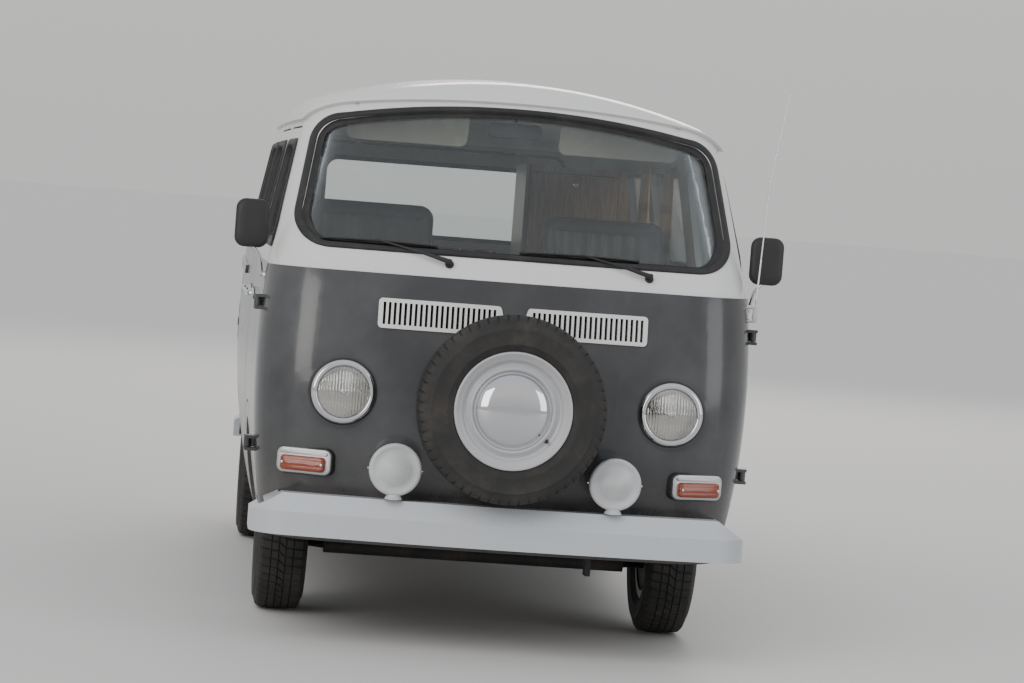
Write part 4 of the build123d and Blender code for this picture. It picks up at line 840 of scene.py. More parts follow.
def padding(name, size, voxel, seams, inset=0.011, corner=0.055, edge=0.030):
    """A padded block in its own XY, sewn from above along the seams (axis, at, from, to), with piping."""
    across, along, thick = size
    levels = [(0.004, 0.016), (0.012, 0.005), (0.024, 0.0)]
    levels += [(thick - inset - edge * (1 - rise), edge * (1 - run)) for rise, run in arc(6)]
    half_x, half_y = across / 2 - inset, along / 2 - inset
    outline = rounded(2 * half_x, 2 * half_y, corner, 10)
    bulk, rings = Form(), []
    for height, shrink in levels:
        rings.append([(x * (1 - shrink / half_x), y * (1 - shrink / half_y), height) for x, y in outline])
    bulk.solid(rings)
    data = swollen(name, bulk, voxel, inset * 1.1)
    for point in data.vertices:
        x, y, z = point.co
        upper = clamped((z - thick * 0.55) / (thick * 0.25))
        sewn = 0.0
        for axis, at, start, end in seams:
            off, run = (x - at, y) if axis == "x" else (y - at, x)
            inside = clamped(min(run - start, end - run) / 0.010 + 1.0)
            sewn = max(sewn, inside * (1 / (1 + (off / SEAM_WIDTH) ** 2)))
        point.co = (
            clamped(x, -across / 2, across / 2),
            clamped(y, -along / 2, along / 2),
            max(0.0, z - SEAM_DEPTH * sewn * upper),
        )
    faces = [polygon.vertices for polygon in data.polygons]
    tree = BVHTree.FromPolygons([point.co for point in data.vertices], faces)
    piping = Form()
    for height in (thick - inset - edge * 0.45 + 0.012, 0.020):
        path = []
        for x, y in rounded(across, along, corner + 0.008, 10):
            point, normal, _, _ = tree.find_nearest(Vector((x, y, height)))
            path.append(point + normal * PIPING_LIFT)
        piping.loop(path, PIPING_RADIUS)
    joined = bmesh.new()
    joined.from_mesh(data)
    made = [joined.verts.new(point) for point in piping.points]
    for face in piping.faces:
        joined.faces.new([made[i] for i in face]).material_index = 1
    joined.to_mesh(data)
    joined.free()
    return data


def placed_padding(name, data, place, finishes, replaces):
    """A copy of the padding, set in its place, finished and made a piece on the van."""
    data = data.copy()
    data.transform(place)
    dress(data, finishes)
    as_piece(data, name, VAN, 75.0, replaces)


def bodies_of(node):
    """The body that a frame node rides on."""
    for body, nodes in frame["record"]["behaviour"]["bodies"].items():
        if node in nodes:
            return body
    raise RuntimeError(f"{node} rides on no body")


# Pieces


class CamperOperator(bpy.types.Operator):
    """Shared by the operators that build a piece."""

    bl_options = {"REGISTER", "UNDO"}

    def execute(self, context):
        self.build(context.scene)
        return {"FINISHED"}


class CAMPER_OT_finish_frame(CamperOperator):
    """Makes the finishes and puts them on the frame's own nodes"""

    bl_idname = "camper.finish_frame"
    bl_label = "Finish the frame"

    NODE_FINISHES = {
        "body": (
            "nose_panel side_panel_left side_panel_right sliding_door cab_door_left cab_door_right "
            "rear_panel tailgate engine_lid slide_rail"
        ),
        "roof": "roof_panel gutter",
        "white": "air_grille",
        "glass": "windscreen side_glass cab_glass_left cab_glass_right tailgate_glass",
        "bumper": "front_bumper rear_bumper",
        "under": "front_beam rear_axle knuckle_left knuckle_right spare_carrier engine_deck",
        "mat": "floor_pan seat_box",
        "engine": "engine_block",
        "exhaust": "silencer",
        "dash": "dashboard",
        "wood": "camper_units",
        "chrome": "door_handle_left door_handle_right sliding_door_handle",
    }

    def build(self, scene):
        finish_all(scene.camper_colours)
        named = {node: finish for finish, nodes in self.NODE_FINISHES.items() for node in nodes.split()}
        for name, node in frame["nodes"].items():
            dress(node.data, named.get(name, "black"))


class CAMPER_OT_window_seals(CamperOperator):
    """Rubber seals round every window, and the bars of the cab windows' vents"""

    bl_idname = "camper.window_seals"
    bl_label = "Window seals"

    def build(self, scene):
        width, height = scene.camper_sizes.seal_width, scene.camper_sizes.seal_height
        bead, bed = ((0.92, 0.45), (0.55, 0.9), (0, 1), (-0.45, 0.8), (-0.62, 0.2)), -GLASS_INSET
        profile = [(width, -0.003), *((width * b, height * h) for b, h in bead), (-width * 0.85, -0.006)]
        profile += [(-width, bed + 0.004), (-width * 1.60, bed + 0.003), (-width * 1.70, bed + 0.0002)]
        profile.append((0.0, bed + 0.0002))
        for node in ("windscreen", "side_glass", "cab_glass_left", "cab_glass_right", "tailgate_glass"):
            form, wrap = Form(), 1.0 if node == "windscreen" else 0.0
            for pane in panes(node):
                path = [(at + out * GLASS_INSET, out, away * (1 + wrap * abs(out.x))) for at, out, away in pane]
                form.ribbon(path, profile)
            form.object(f"seal_{node}", bodies_of(node), "seal", "black_plastic", 70)
        for side, word in SIDES.items():
            self.vent_bar(side, word)
        self.tailgate_seal()

    def tailgate_seal(self):
        """The rubber bead on the body that the shut tailgate presses on, along its edge."""
        gate, (low, high) = Skin("tailgate"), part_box("tailgate")
        middle, path = (low + high) / 2, []
        for x, z in around(160):
            away = Vector((x, 0, z))
            starts = (Vector((middle.x, 1.4, middle.z)) + away * reach / 1000 for reach in range(1099, 0, -1))
            hits = (gate.tree.ray_cast(start, BACK)[0] for start in starts)
            path.append(next(hit for hit in hits if hit is not None) + away * 0.0035 - BACK * 0.0045)
        form = Form()
        form.loop(path, 6.5, BACK)
        form.object("seal_tailgate_opening", VAN, "seal", "black_plastic", 80)

    def vent_bar(self, side, word):
        """The upright that parts a cab window's vent from its main pane."""
        glass, (low, high) = Skin(f"cab_glass_{word}"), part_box(f"cab_glass_{word}")
        profile = ((-11, -0.5), (-11, 6), (-6, 9.5), (6, 9.5), (11, 6), (11, -0.5))
        form, rows = Form(), []
        for share in shares(12):
            z = low.z + 0.004 + (high.z - low.z - 0.008) * share
            point, normal = glass.outside(side, low.y + 0.255 + 0.030 * share, z)
            rows.append([point + (BACK * b + normal * n) / 1000 for b, n in profile])
        form.solid(rows)
        form.object(f"vent_bar_{word}", bodies_of(f"cab_glass_{word}"), "black", "black_plastic", 50)


class CAMPER_OT_headlamps(CamperOperator):
    """Headlamps: chrome ring, fluted glass, reflector and bulb"""

    bl_idname = "camper.headlamps"
    bl_label = "Headlamps"

    CENTRE = Vector((0.552, NOSE + 0.018, 0.849))
    RING = ((107.5, 0), (108.5, 5), (106.5, 11), (101, 16.5), (94.5, 18.5), (88.5, 17), (86, 12.5), (85.5, 6))
    BULB = ((0, 6), (10, 5), (16.5, -1), (16.5, -20), (0, -45))

    def build(self, scene):
        form = Form()
        for side in SIDES:
            place = pointing(mirrored(self.CENTRE, side), -BACK)
            form.turned(((108.5, -2), (112.5, 1), (112.5, 4), (108, 6)), place, 72, 4)
            form.turned(self.RING, place, 96, 0)
            form.turned([(85.8 * run, 12.5 + 21.5 * rise) for rise, run in arc(12)], place, 96, 1)
            radii = [85.5 * (1 - step / 15) for step in range(15)]
            form.turned([(radius, 11 - 62 * (1 - (radius / 85.5) ** 2)) for radius in radii], place, 72, 2)
            form.turned(self.BULB, place, 32, 3)
        finishes = "chrome headlamp reflector chrome seal"
        form.object("headlamp_units", VAN, finishes, "lamp_glass", 60, "headlamps")


class CAMPER_OT_fog_lamps(CamperOperator):
    """Fog lamps on the bumper: bright bowl, white cover and bracket"""

    bl_idname = "camper.fog_lamps"
    bl_label = "Fog lamps"

    CENTRE = Vector((0.367, NOSE - 0.104, 0.610))
    BUMPER_TOP = 0.5073
    COVER = (
        (0, 9), (23, 8.8), (24.5, 7.2), (50, 5.8), (52, 3.4), (71, 1.2), (74.5, 3.4), (80.5, 4), (86.5, 0),
        (87.5, -6), (87.5, -16), (85, -18),
    )
    BOWL = ((85, -17), (84, -30), (72, -56), (40, -82), (0, -86))

    def build(self, scene):
        form = Form()
        for side in SIDES:
            place = pointing(mirrored(self.CENTRE, side), -BACK)
            form.turned(self.COVER, place, 80, 0)
            form.turned(self.BOWL, place, 64, 1)
            foot = mirrored((self.CENTRE.x, self.CENTRE.y + 0.034, self.BUMPER_TOP), side)
            stand = pointing(foot, UP, BACK)
            form.turned(((0, 12), (11, 12), (17, 4), (19, 0), (0, 0)), stand, 32, 1)
            form.tube([foot, foot + UP * 0.034], 9, 1, 20)
            neck = moved(place @ Matrix.Rotation(radians(90), 4, "X"), 0, -14)
            form.turned(((20, 81.5), (26, 90), (30, 98.5), (0, 98.5)), neck, 32, 0)
            for bolt in (-1, 1):
                form.tube([(bolt * 86.5, 0, -20), (bolt * 92.5, 0, -20)], 4, 1, 12, place)
        form.object("fog_lamp_units", VAN, "cover chrome", "fog_cover", 50, "fog_lamps")


class CAMPER_OT_indicators(CamperOperator):
    """Front indicators and tail lamps on the body's corners"""

    bl_idname = "camper.indicators"
    bl_label = "Indicators and tail lamps"

    def build(self, scene):
        front, rear = Form(), Form()
        for side in SIDES:
            turn, corner = radians(23) * side, mirrored((0.660, NOSE + 0.058, 0.607), side)
            self.indicator(front, pointing(corner, (sin(turn), -cos(turn), 0)))
            turn, corner = radians(32) * side, mirrored((0.720, TAIL - 0.050, 0.786), side)
            self.tail_lamp(rear, pointing(corner, (sin(turn), cos(turn), 0)))
        front.object("indicator_units", VAN, "steel amber seal chrome", "amber", 45, "front_indicators")
        rear.object("tail_lamp_units", VAN, "chrome red amber clear seal", "red_lens", 45, "tail_lamps")

    def indicator(self, form, place):
        form.slab((198, 90, 26), place, -55, 6, 2, 2)
        form.slab((194, 86, 24), place, 0, 16, 0, 6)
        form.slab((158, 50, 12, 6, (0, -8)), place, 10, 34, 1, 9)
        form.slab((170, 10, 4, 4, (0, 28)), place, 10, 24, 0, 3)
        for across in (-70, 70):
            form.turned(((0, 37), (4, 36.5), (5.5, 33), (5.5, 28)), moved(place, across, -8), 20, 3)

    def tail_lamp(self, form, place):
        form.slab((92, 166, 42), place, -60, 6, 4, 2)
        form.slab((88, 162, 40), place, 0, 14, 0, 6)
        for mark, low, high in ((2, 30, 74), (1, -36, 28), (3, -74, -38)):
            form.slab((74, high - low, 13, 6, (0, (high + low) / 2)), place, 8, 36, mark, 12, 4)
        for up in (62, -64):
            form.turned(((0, 39), (3.5, 38.5), (5, 35), (5, 30)), moved(place, 0, up), 20, 0)


class CAMPER_OT_wheels(CamperOperator):
    """Tyres with tread, painted rims and domed caps, the spare among them"""

    bl_idname = "camper.wheels"
    bl_label = "Wheels"

    WHEELS = {
        "front_left": (0.692, -1.120, 1),
        "front_right": (-0.692, -1.120, -1),
        "rear_left": (0.713, 1.280, 1),
        "rear_right": (-0.713, 1.280, -1),
    }
    RADIUS, HALF = 315, 88
    SIDEWALL = (
        (178.5, -62), (188, -65.5), (196, -66.5), (198.5, -70.5), (202, -73.5), (218, -83.5), (220, -85.5),
        (224, -86), (227, -84.8), (248.85, -88), (263, -87.6), (267, -89.2), (272, -89), (276, -85.8),
        (287, -82),
    )
    RIBS = (-70, -61, -41, -37, -14.5, -10.5, 10.5, 14.5, 37, 41, 61, 70)
    NOTCHES = ((0.00, 0.0), (0.10, 1.0), (0.16, 1.0), (0.26, 0.0))
    DISC = (
        (166, -70), (194.5, -70), (196.5, -67), (194, -63), (179, -61.5), (170, -40), (166, 0), (170, 45),
        (179, 60.5), (193, 64), (197, 69), (195.5, 74.5), (191, 76), (186.5, 73.5), (181.5, 66.5), (174, 62.5),
        (165.5, 56), (163, 47.5), (156.5, 43.5), (148, 45.5), (143.5, 50.5), (138, 52.5), (133, 50), (130, 44),
        (124, 40), (116, 38.5), (108, 30), (62, 26), (58, 20), (30, 19), (24, 15),
    )
    CAP = (
        (129, 38), (131.5, 43), (130.5, 47.5), (127, 50), (123.5, 49.5), (121.5, 51), (115, 57.5), (102, 64.5),
        (84, 70.5), (62, 75), (38, 77.8), (16, 78.8), (0, 79),
    )
    DRUM = ((15.5, -39), (112, -39), (120, -34), (120, 10), (112, 16), (15.5, 16))

    def build(self, scene):
        for name, (x, y, side) in self.WHEELS.items():
            place = pointing(Vector((x, y, self.RADIUS / 1000)), LEFT * side)
            self.wheel(name, place, f"wheel_{name}", f"tyre_{name}", f"rim_{name}", scene.camper_sizes, True)
        spare = pointing(Vector((0, NOSE - 0.122, 0.836)), -BACK) @ Matrix.Rotation(radians(-38), 4, "Z")
        self.wheel("spare", spare, VAN, "spare_tyre", "spare_rim", scene.camper_sizes, False)

    def wheel(self, name, place, body, tyre_node, rim_node, sizes, drum):
        self.tyre(place, sizes).object(f"tyre_with_tread_{name}", body, "tyre", "tyre", 35, tyre_node)
        finishes = "rim chrome black under seal"
        self.rim(place, drum).object(f"wheel_disc_{name}", body, finishes, "rim", 40, rim_node)

    def columns(self, depth):
        """Across the tyre: (radius, distance along the axle, share of a notch's depth)."""
        flank = [(r, x, 0.0) for r, x in self.SIDEWALL]
        shoulder = (self.RADIUS - 14, self.HALF - 10.5, 1.0)
        columns = [*flank, (shoulder[0], -shoulder[1], 1.0)]
        for i, x in enumerate(self.RIBS):
            crown = self.RADIUS - 6.2 * (x / 70) ** 2
            if i in (2, 4, 6, 8):
                columns += [(crown, x, 1.0), (crown - depth, x + 0.8, 0.0)]
            elif i in (3, 5, 7, 9):
                columns += [(crown - depth, x - 0.8, 0.0), (crown, x, 1.0)]
            else:
                columns.append((crown, x, 1.0))
        return [*columns, shoulder, *((r, -x, 0.0) for r, x, _ in reversed(flank))]

    def tyre(self, place, sizes):
        """The carcass round the wheel's axle, its tread cut by ribs and slanted slots."""
        depth, pitches = sizes.tread_depth * 1000, sizes.tread_pitches
        columns, form, rings = self.columns(depth), Form(), []
        for pitch in range(pitches):
            for start, cut in self.NOTCHES:
                ring = []
                for r, x, tread in columns:
                    slant = x * 0.0032 + (0.5 if x > 0 else 0.0)
                    angle = 2 * pi * (pitch + start + slant) / pitches
                    reach = r - depth * 0.85 * cut * tread
                    ring.append(within(place, reach * cos(angle), reach * sin(angle), x))
                rings.append(ring)
        form.rings(rings, round_trip=True)
        return form

    def rim(self, place, drum):
        """The pressed disc and rim with its cap, its valve and, on the road wheels, the drum."""
        form = Form()
        form.turned(self.DISC, place, 96, 0)
        form.turned(self.CAP, place, 96, 1)
        valve = moved(place, 148, 0, 44)
        form.turned(((7.8, 0.5), (7.8, 3), (5.2, 4.2)), valve, 20, 4)
        form.tube([(0, 0, 0), (4, 0, 16)], 3.8, 4, 12, valve)
        form.tube([(4, 0, 16), (4.8, 0, 21)], 3, 2, 12, valve)
        if drum:
            form.turned(self.DRUM, place, 64, 3)
        return form


class CAMPER_OT_wipers(CamperOperator):
    """Wiper arms and blades, parked along the foot of the windscreen"""

    bl_idname = "camper.wipers"
    bl_label = "Wipers"

    PIVOTS = ((-0.225, -0.470), (0.455, 0.215))
    PIVOT_Z, BLADE_Z, REACH = 1.295, 1.350, 0.205

    def build(self, scene):
        nose, screen, form = Skin("nose_panel"), Skin("windscreen"), Form()
        for pivot_x, tip_x in self.PIVOTS:
            foot, out = nose.ahead(pivot_x, self.PIVOT_Z)
            place = pointing(foot, out)
            form.turned(((15, -2), (15, 4), (11, 7), (11, 12), (0, 12)), place, 28, 1)
            form.turned(((8.5, 10), (8.5, 26), (7, 29), (0, 30)), place, 24, 0)
            tip, tip_out = screen.ahead(tip_x, self.BLADE_Z)
            start, end = foot + out * 0.021, tip + tip_out * 0.021
            middle = start.lerp(tip + tip_out * 0.030, 0.35) + out * 0.004
            form.tube([start, middle], (8.5, 6.2), 0, 10)
            form.tube([middle, middle.lerp(end, 0.5), end], (4.5, 4, 3.8), 0, 10)
            self.blade(form, screen, tip_x)
        form.object("wiper_arms_and_blades", VAN, "black seal", "black_plastic", 50, "wipers")

    def blade(self, form, screen, middle_x):
        """A bridge with two claws and a rubber strip that follows the glass."""

        def above(share, lift):
            point, out = screen.ahead(middle_x + self.REACH * (2 * share - 1), self.BLADE_Z - 0.004)
            return point + out * lift / 1000

        strip = []
        for share in shares(16):
            base, top = above(share, 1.2), above(share, 11)
            strip.append([base + UP * 0.0012, top + UP * 0.0035, top - UP * 0.0035, base - UP * 0.0012])
        form.solid(strip, 1)
        for start, end, bow in ((0.02, 0.98, 11), (0.02, 0.42, 7), (0.58, 0.98, 7)):
            bridge = [above(start + (end - start) * share, 11 + bow * sin(pi * share)) for share in shares(8)]
            form.tube(bridge, 3.2, 0, 8)


class CAMPER_OT_mirrors(CamperOperator):
    """Door mirrors on bent arms"""

    bl_idname = "camper.mirrors"
    bl_label = "Door mirrors"

    HEAD = Vector((0.888, NOSE + 0.322, 1.382))
    SHELL = ((-12.5, 0.90), (-13, 0.97), (-9, 1), (-1, 1), (6, 0.955), (10.5, 0.86), (13, 0.70), (14, 0.40))

    def build(self, scene):
        for side, word in SIDES.items():
            form, place = Form(), pointing(mirrored(self.HEAD, side), -BACK)
            outline = rounded(115, 165, 34, 8)
            form.solid([[within(place, x * s, y * s, z) for x, y in outline] for z, s in self.SHELL])
            form.slab((99, 149, 28, 8), place @ Matrix.Rotation(pi, 4, "X"), 10, 13.4, 2, 0.5)
            foot, out = Skin(f"cab_door_{word}").outside(side, NOSE + 0.352, 1.208)
            base = ((17, -2), (17, 3), (14, 7), (8.5, 9), (8.5, 14), (0, 14))
            form.turned(base, pointing(foot, out), 28, 1)
            elbow = mirrored(self.HEAD + Vector((-0.034, 0.012, -0.108)), side)
            neck = mirrored(self.HEAD + Vector((0, 0.002, -0.0705)), side)
            start = foot + out * 0.010
            arm = [start, start.lerp(elbow, 0.55), start.lerp(elbow, 0.88), elbow.lerp(neck, 0.22)]
            form.tube([*arm, neck.lerp(elbow, 0.45), neck], 5.8, 1, 16)
            form.turned(((8.5, -8), (9.5, 0), (8.5, 10), (0, 12)), pointing(neck, UP, BACK), 20, 1)
            name, body = f"door_mirror_{word}", f"{word}_cab_door"
            form.object(name, body, "black chrome mirror", "black_plastic", 50, f"mirror_{word}")


class CAMPER_OT_aerial(CamperOperator):
    """Telescopic aerial with its pale boot, bent outwards near the top"""

    bl_idname = "camper.aerial"
    bl_label = "Aerial"

    FOOT, BEND = Vector((0.846, -1.798, 1.170)), Vector((0.864, -1.798, 1.650))
    TIP = Vector((0.912, -1.798, 1.975))

    def build(self, scene):
        form, rise, lean = Form(), self.BEND - self.FOOT, self.TIP - self.BEND
        for places, radii, mark, steps in (
            ((0.0, 0.012, 0.05, 0.10, 0.118), (7.5, 9, 8.2, 6.2, 4), 1, 20),
            ((0.10, 0.44), 3.1, 0, 12),
            ((0.435, 0.445, 0.45), (3.6, 3.6, 3.1), 0, 12),
            ((0.45, 1), 2.6, 0, 12),
        ):
            form.tube([self.FOOT + rise * share for share in places], radii, mark, steps)
        top = [self.BEND + lean * share for share in (0.0, 0.5, 0.985)]
        form.tube([self.BEND - rise * 0.01, *top], (2.6, 2.6, 2, 1.8), 0, 12)
        bead = ((0, -3.5), (2.5, -2.5), (3.6, 0), (2.5, 2.5), (0, 3.5))
        form.turned(bead, pointing(self.TIP - lean.normalized() * 0.004, lean), 16, 0)
        for z in (1.176, 1.222):
            form.tube([(0.800, -1.798, z), (0.848, -1.798, z)], 6, 0, 14)
        form.object("aerial_mast", VAN, "chrome cover", "chrome", 50, "aerial")


class CAMPER_OT_grille(CamperOperator):
    """A dark sheet behind the air grille's slots, painted shade for the intake behind them"""

    bl_idname = "camper.grille"
    bl_label = "Grille gauze"

    SLOTS_MIDDLE, PITCH, BARS = 0.250, 0.0175, 23

    def build(self, scene):
        bars, pocket, form = Skin("air_grille"), Skin("nose_panel"), Form()
        low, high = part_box("air_grille")
        heights = [low.z + 0.002 * step for step in range(int((high.z - low.z) / 0.002) + 1)]
        for side in SIDES:
            rows = []
            for bar in range(self.BARS):
                x = side * (self.SLOTS_MIDDLE + (bar - (self.BARS - 1) / 2) * self.PITCH)
                starts = [Vector((x, -Skin.CLEAR_END, z)) for z in heights]
                hit = [start.z for start in starts if bars.tree.ray_cast(start, BACK)[0] is not None]
                if hit:
                    ends = (hit[0] + 0.009, (hit[0] + hit[-1]) / 2, hit[-1] - 0.009)
                    # A dark sheet just in front of the panel in each slot: painted shade in the intake
                    rows.append([pocket.ahead(x, z)[0] - BACK * 0.0014 for z in ends])
            form.rings(rows)
        form.object("grille_gauze", VAN, "gauze", "black_plastic", 38)


class CAMPER_OT_handles(CamperOperator):
    """Chrome pull handles with push buttons on the cab doors and the sliding door"""

    bl_idname = "camper.handles"
    bl_label = "Door handles"

    HANDLES = (
        ("door_handle_left", "cab_door_left", 1, 1),
        ("door_handle_right", "cab_door_right", -1, 1),
        ("sliding_door_handle", "sliding_door", -1, 0),
    )
    BUTTON = ((10.5, 20), (15, 24), (15.5, 31), (14, 33), (11.8, 33), (11.2, 36.5), (8.5, 37.8), (0, 38.2))

    def build(self, scene):
        for node, door, side, latch in self.HANDLES:
            low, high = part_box(node)
            skin, form, z = Skin(door), Form(), (low.z + high.z) / 2
            for end, y in enumerate((low.y + 0.014, high.y - 0.014)):
                boss = pointing(*skin.outside(side, y, z))
                form.turned(((20.5, -2), (20.5, 1.6), (18, 2.6)), boss, 28, 1)
                form.turned(((18.2, 1.4), (17.2, 4.5), (12.5, 10), (10.5, 24)), boss, 28, 0)
                if end == latch:
                    form.turned(self.BUTTON, boss, 28, 0)
                    form.slab((1.8, 10, 0.6, 2), moved(boss, 0, 0, 38.3), -1, 0.2, 2)
            self.grip(form, skin, side, z, low.y, high.y)
            form.object(f"pull_{node}", bodies_of(node), "chrome seal black", "chrome", 50, node)

    def grip(self, form, skin, side, z, start, end):
        """The bowed bar between a handle's bosses."""
        rings = []
        for share in shares(24):
            foot, out = skin.outside(side, start + (end - start) * share, z)
            bow, tip = sin(pi * share), min(1.0, 0.45 + 2.6 * min(share, 1 - share) ** 0.5)
            middle = foot + out * (0.0220 + 0.0075 * bow)
            tall, thick = (0.0085 + 0.0032 * bow) * tip, (0.0046 + 0.0014 * bow) * tip
            rings.append([middle + UP * (tall * x) + out * (thick * y) for x, y in around(18)])
        form.solid(rings)


class CAMPER_OT_rear_trim(CamperOperator):
    """Blank plate with its lamp, catches, and the intakes and filler flap on the rear quarters"""

    bl_idname = "camper.rear_trim"
    bl_label = "Rear trim"

    def build(self, scene):
        self.lid_trim()
        self.tailgate_trim()
        self.intakes(scene.camper_sizes.grille_slats)
        self.filler_flap()

    def lid_trim(self):
        skin, form = Skin("engine_lid"), Form()
        place = pointing(*skin.behind(0.690))
        form.slab((520, 112, 8), place, 9, 11, 0, 0.8)
        border = [Vector((x, y, 0)) for x, y in rounded(0.508, 0.100, 0.006)]
        out, turned = place.col[2].to_3d(), place.to_3x3()
        loop = [(place @ (point + UP * 0.0106), out, (turned @ point).normalized()) for point in border]
        form.ribbon(loop, [(0.004, 0.0), (0.004, 0.0022), (-0.004, 0.0022), (-0.004, 0.0)], 0)
        for x in (-190, 190):
            form.tube([(x, 0, -10), (x, 0, 9.2)], 9, 2, 16, place)
            form.turned(((0, 14.5), (4, 14), (6.2, 11)), moved(place, x), 16, 1)
        housing = pointing(*skin.behind(0.800))
        form.slab((150, 52, 24, 8), housing, -4, 44, 3, 20, 6)
        form.slab((100, 16, 6, 4, (0, -22)), housing, 12, 36, 4, 3)
        knob = pointing(*skin.behind(0.604))
        form.turned(((22, -1), (22, 2), (18.5, 5), (16.5, 12), (0, 13.5)), knob, 32, 1)
        form.slab((52, 12, 5), knob, 10, 22, 1, 3)
        form.object("lid_plate_and_catch", "engine_lid", "plate chrome seal body clear", "bumper_white", 45)

    def tailgate_trim(self):
        form, place = Form(), pointing(*Skin("tailgate").behind(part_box("tailgate")[0].z + 0.055))
        form.slab((130, 34, 15), place, -1, 3, 1, 1)
        form.slab((122, 26, 12), place, 2, 16, 0, 6, 4)
        form.turned(((10.5, 12), (10.5, 21), (8.5, 23), (0, 23.5)), moved(place, 36), 28, 0)
        form.object("tailgate_catch", "tailgate", "chrome seal", "chrome", 45)

    def intakes(self, slats):
        """Horizontal slats behind the last side windows, each a black patch of painted shade for the slot's
        opening, under a pressed lip.
        """
        for side, word in SIDES.items():
            skin, form = Skin(f"side_panel_{word}", "rear_panel"), Form()
            for share in shares(slats - 1):
                width = 88 + 22 * sin(pi * share)
                place = pointing(*skin.outside(side, 1.912 - 0.004 * share, 1.345 + 0.225 * share))
                # A black patch on the skin: painted shade in the slot's opening
                form.patch(skin, (width, 12.5, 6, 4), place, 0.5, 0)
                form.patch(skin, (width + 4, 10, 4.8, 4, (0, 11)), place, 3, 1, crown=True)
            form.object(f"rear_intake_{word}", VAN, "black roof", "body_white", 50)

    def filler_flap(self):
        skin, form = Skin("side_panel_right"), Form()
        place = pointing(*skin.outside(-1, 1.700, 0.900))
        form.patch(skin, (168, 168, 30, 8), place, 0.3, 0)
        form.patch(skin, (161, 161, 27, 8), place, 1.6, 1)
        form.slab((16, 34, 4, 4, (90, 0)), place, -3, 4.5, 1, 2)
        form.object("filler_flap", VAN, "black body", "body_slate", 40)


class CAMPER_OT_front_seats(CamperOperator):
    """Two padded seats with pleated faces and piping, on steel brackets"""

    bl_idname = "camper.front_seats"
    bl_label = "Front seats"

    X, BASE_Z = 0.430, 0.800
    CUSHION_SIZE, BACK_SIZE = (0.510, 0.460, 0.130), (0.490, 0.655, 0.100)
    VOXEL = 0.0095

    def seams(self, half_x, low, high, pleat_low, pleat_high):
        """Pleats along Y, and a border round them."""
        pleats = [("x", x / 100, pleat_low, pleat_high) for x in (-15, -10, -5, 0, 5, 10, 15)]
        pleats += [("x", x, low, high) for x in (-half_x, half_x)]
        return pleats + [("y", y, -half_x, half_x) for y in (low, high)]

    def build(self, scene):
        seams = self.seams(0.188, -0.185, 0.190, -0.170, 0.175)
        cushion = padding("seat_cushion", self.CUSHION_SIZE, self.VOXEL, seams)
        seams = self.seams(0.185, -0.240, 0.260, -0.225, 0.245)
        back = padding("seat_back", self.BACK_SIZE, self.VOXEL, seams)
        up = Vector((0, 0.067, 0.660)).normalized()
        forward = LEFT.cross(up)
        for side, word in SIDES.items():
            middle = Vector((side * self.X, NOSE + 1.2345, self.BASE_Z + 0.371)) - forward * 0.050
            flat = Matrix.Translation((side * self.X, NOSE + 0.920, self.BASE_Z + 0.0005))
            upright = based(middle, LEFT, up, forward)
            for name, data, place in (("cushion", cushion, flat), ("back", back, upright)):
                placed_padding(f"seat_{name}_{word}", data, place, "vinyl piping", "front_seats")
            self.frame(side, word)

    def frame(self, side, word):
        """The brackets that carry a seat's back, and its runners."""
        form = Form()
        for across in (-0.165, 0.165):
            foot = Matrix.Translation((side * self.X + across, NOSE + 1.198, self.BASE_Z + 0.0005))
            form.slab((40, 84, 10), foot, 0, 4, 0, 1)
            form.tube([(0, -6, 2.5), (0, -2, 39.5), (0, 5, 89.5)], (13, 13, 12), 0, 16, foot)
            for bolt in (-30, 30):
                form.turned(((0, 9.5), (5, 9.2), (6.6, 7), (6.6, 3.5)), moved(foot, 0, bolt), 6, 1)
        form.object(f"seat_bracket_{word}", VAN, "black steel", "black_plastic", 40, "front_seats")


class CAMPER_OT_bench(CamperOperator):
    """Rear bench: wooden box, checked cushion and back"""

    bl_idname = "camper.bench"
    bl_label = "Rear bench"

    LEFT_END, RIGHT_END, FRONT, TOP = 0.280, -0.770, 0.770, 0.740
    VOXEL = 0.0115

    def build(self, scene):
        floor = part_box("rear_bench")[0].z
        wide, middle = self.LEFT_END - self.RIGHT_END, (self.LEFT_END + self.RIGHT_END) / 2
        seams = [("x", x, -0.20, 0.20) for x in (-0.175, 0.175)]
        seat = padding("bench_seat", (wide, 0.412, 0.130), self.VOXEL, seams)
        seams = [("x", x, -0.28, 0.28) for x in (-0.175, 0.175)]
        back = padding("bench_back", (wide - 0.030, 0.575, 0.104), self.VOXEL, seams)
        up = Vector((0, 0.070, 0.590)).normalized()
        forward = LEFT.cross(up)
        face = Vector((middle + 0.010, 1.2197, self.TOP + 0.297))
        flat = Matrix.Translation((middle, self.FRONT + 0.206, self.TOP + 0.0005))
        upright = based(face - forward * 0.106, LEFT, up, forward)
        for name, data, place in (("bench_cushion", seat, flat), ("bench_back", back, upright)):
            placed_padding(name, data, place, "cloth piping", "rear_bench")
        self.box(floor, wide * 1000, middle)

    def box(self, floor, wide, middle):
        form, height = Form(), (self.TOP - floor) * 1000
        front = pointing(Vector((middle, self.FRONT + 0.048, (floor + self.TOP) / 2)), -BACK)
        form.slab((wide, height, 3, 2), front, 0, 18, 0, 1.5)
        top = Matrix.Translation((middle, self.FRONT + 0.290, self.TOP - 0.018))
        form.slab((wide, 484, 3, 2), top, 0, 17.8, 0, 1.5)
        for across in (-262, 262):
            form.slab((470, height - 90, 12, 4, (across, 12)), front, 17, 19.5, 1)
            form.slab((462, height - 98, 10, 4, (across, 12)), front, 18, 26.5, 0, 2)
            knob = moved(front, across - 190 * (1 if across > 0 else -1), 60, 26.5)
            form.turned(((6, -1), (6, 8), (12, 13), (12.5, 18), (8.5, 22.5), (0, 23.5)), knob, 24, 2)
        form.object("bench_box", VAN, "wood black chrome", "wood", 40, "rear_bench")


